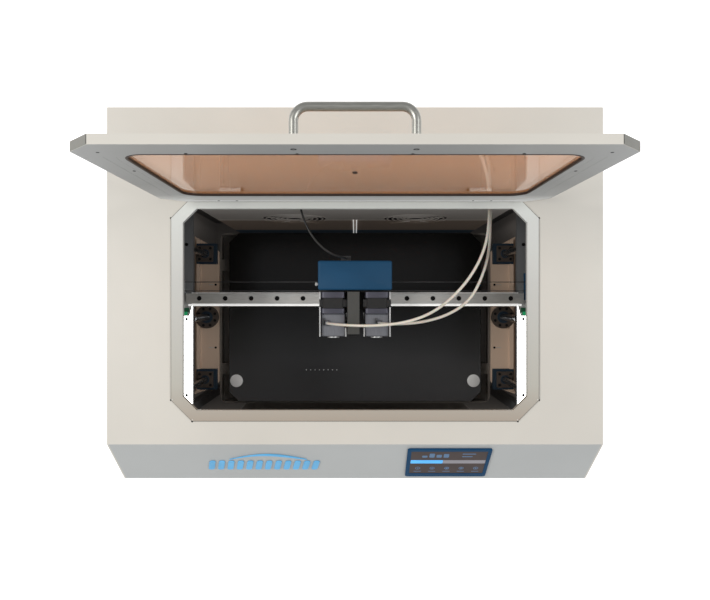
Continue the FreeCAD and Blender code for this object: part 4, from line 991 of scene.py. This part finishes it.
def lid():
    """The lid's window, inner border, painted shade on its corner chamfers, vent plug, screws, handle feet
    and painted shade along the chamfer folds.
    """
    x1, y0, _, z0, z1 = limits("lid_frame")[1:]
    y1 = limits("lid_handle")[2]
    low, high, half, corner, lap, cut = TOP + 54, TOP + 268, 206.0, 22, 7.0, 25.0
    foot_z, vent_z = z1 - 16, low + 128
    window("lid", "lid", -half, half, low, high, corner, y0 + 1.5, y0 - 0.3, (y0 + 2.5, y0 + 5.5),
           "pane", "lid_window")
    lining = Piece("lid_inner_border", "lid_inside")
    outer = round_rect(-half - lap, half + lap, low - lap, high + lap, corner + lap, 8)
    inner = round_rect(-half, half, low, high, corner, 8)
    rings = [[(x, h, z) for x, z in line] for line, h in
             ((outer, y0 + 1.5), (outer, y0 + 0.1), (inner, y0), (inner, y0 + 1.5))]
    lining.loft(rings, closed=True)

    def octagon(step):
        c, x, bottom, top = cut - 0.125 * step, x1 - step, z0 + max(step, 5.4), z1 - step
        return [(x, top - c), (x - c, top), (c - x, top), (-x, top - c),
                (-x, bottom + c), (c - x, bottom), (x - c, bottom), (x, bottom + c)]

    edge, band = 0.3, 20.2
    rings = [[(x, h, z) for x, z in octagon(step)] for step, h in
             ((edge, y0 + 0.5), (edge, y0 - 0.15), (band, y0 - 0.15), (band, y0 + 0.5))]
    lining.loft(rings, closed=True)
    lining.done("lid", ("lid_window",))
    # thin dark sheets over the chamfer faces: painted shade
    caps = Piece("lid_corner_painted_shade", "lid_chamfer_shade")
    for sign in (-1, 1):
        face = [(x1 + 0.05, z1 - cut), (x1 - cut, z1 + 0.05), (x1 - cut - 0.4, z1 - 0.5)]
        face.append((x1 - 0.5, z1 - cut - 0.4))
        caps.loft([[(sign * x, h, z) for x, z in face] for h in (y0 + 0.1, y1 + 0.05)])
    caps.done("lid")
    port = Piece("lid_vent_plug", "gasket", "steel")
    profile = [(2.6, 0), (2.6, -1.2), (1.9, -1.7), (1.0, -1.7), (1.0, -0.8)]
    port.turned(0, y0 + 2.5, vent_z, profile, "Y", 28)
    port.done("lid", ("lid_window",))
    screws = Piece("lid_screws", "screw")
    for x in (-HANDLE_X, HANDLE_X):
        screws.cap_screw(x, y0, foot_z, 2.6, 0.32, "Y", -1)
    rivets = ((220, z1 - 27), (216, z1 - 103), (146, z1 - 32),
              (50, z1 - 33), (150, z0 + 12), (173, z0 + 12))
    for sign in (-1, 1):
        for x, z in rivets:
            screws.rod(sign * x, y0 - 0.3, z, 1.5, 0.6, "Y", 14)
    screws.done("lid")
    roses = Piece("lid_handle_feet", "handle")
    for x in (-HANDLE_X, HANDLE_X):
        roses.turned(x, y1, foot_z, HANDLE_FOOT, "Y", 32)
    roses.done("lid")
    # thin dark strips along the chamfer folds: painted shade in the creases
    fold_shade = Piece("lid_fold_painted_shade", "screw")
    for sign in (-1, 1):
        x = sign * (x1 - cut)
        a, b = sorted((x, x + sign * 0.5))
        fold_shade.box(a, b, y0 + 0.6, y1 - 0.6, z1 - 0.6, z1 + 0.06)
    fold_shade.done("lid")


def door():
    """The door's window and the feet of its handle."""
    y0, y1 = limits("door_frame")[2:4]
    window("door", "door", -190, 190, 105, 400, 22, y0, y1, (y0 + 2, y0 + 5), "door_pane", "door_window")
    roses = Piece("door_handle_feet", "handle")
    grip_x, grip_z = 215, 252
    for z in (grip_z - HANDLE_X, grip_z + HANDLE_X):
        roses.turned(grip_x, y0, z, [(radius, -height) for radius, height in HANDLE_FOOT], "Y", 32)
    roses.done("door")


def rear_details():
    """Screws of the power inlet, and push-fit collars on both faces of the rear wall."""
    x0, x1, _, y1, z0, z1 = limits("power_inlet")
    piece = Piece("inlet_screws", "steel")
    for x in (x0 + 1.8, x1 - 1.8):
        piece.turned(x, y1, (z0 + z1) / 2, [(1.5, 0), (1.5, 0.5), (0.9, 0.8)], "Y", 14)
    piece.done("cabinet")
    collars = Piece("push_fit_collars", "blue")
    for x, z in ((186, 552), (195, 538)):
        for hole, front, back in ((3.1, 256, 258.4), (3.2, 217.8, 220.2)):
            collars.tube_ring(circle(5.0, 28), circle(hole, 28), front, back, "Y", (x, 0, z))
    collars.done("cabinet", bevel=0.3)


rim_seam()
touch_screen()
badge()
chamber_details()
fans()
feet_and_fastenings()
hinge_details()
gantry_details()
extruder_motors()
feeders()
hotends()
head_cover()
bed()
bed_slides()
lid()
door()
rear_details()


# ---- floor, sky and lights ----
def stage():
    """A large white floor with a slight glow of its own."""
    mesh = bpy.data.meshes.new("floor")
    size = 14.0
    corners = [(-size, -size, 0), (size, -size, 0), (size, size, 0), (-size, size, 0)]
    mesh.from_pydata(corners, [], [(0, 1, 2, 3)])
    look = Look("floor_white", 0.9, Emission_Color=(1, 1, 1, 1), Emission_Strength=0.5)
    look.colour(look.ramp(look.noise(2.0), (0.93, 0.93, 0.93), (0.95, 0.95, 0.95)))
    mesh.materials.append(look.material)
    floor = bpy.data.objects.new("floor", mesh)
    bpy.context.scene.collection.objects.link(floor)


def sky():
    """An even studio surround, slightly darker towards the top."""
    world = bpy.data.worlds.new("studio")
    world.use_nodes = True
    bpy.context.scene.world = world
    tree = world.node_tree
    background = tree.nodes["Background"]
    where = tree.nodes.new("ShaderNodeTexCoord")
    split = tree.nodes.new("ShaderNodeSeparateXYZ")
    ramp = tree.nodes.new("ShaderNodeValToRGB")
    tree.links.new(where.outputs["Generated"], split.inputs[0])
    tree.links.new(split.outputs["Z"], ramp.inputs[0])
    ramp.color_ramp.elements[0].color = (0.92, 0.92, 0.93, 1)
    ramp.color_ramp.elements[1].color = (0.80, 0.81, 0.83, 1)
    tree.links.new(ramp.outputs[0], background.inputs["Color"])
    background.inputs["Strength"].default_value = 0.50


def softbox(name, place, target, size, watts, colour):
    """A round soft lamp aimed at its target."""
    data = bpy.data.lights.new(name, "AREA")
    data.shape = "DISK"
    data.size = size
    data.energy = watts
    data.color = colour
    lamp = bpy.data.objects.new(name, data)
    lamp.location = place
    lamp.rotation_euler = (Vector(target) - Vector(place)).to_track_quat("-Z", "Y").to_euler()
    bpy.context.scene.collection.objects.link(lamp)


stage()
sky()
MIDDLE = (0, 0, 0.5)
softbox("key", (-2.1, 0.12, 2.9), MIDDLE, size=1.2, watts=52, colour=(1.0, 0.99, 0.97))
softbox("fill", (2.1, 0.1, 2.9), MIDDLE, size=1.6, watts=36, colour=(0.98, 0.99, 1.0))
bpy.context.scene.view_settings.view_transform = "Standard"
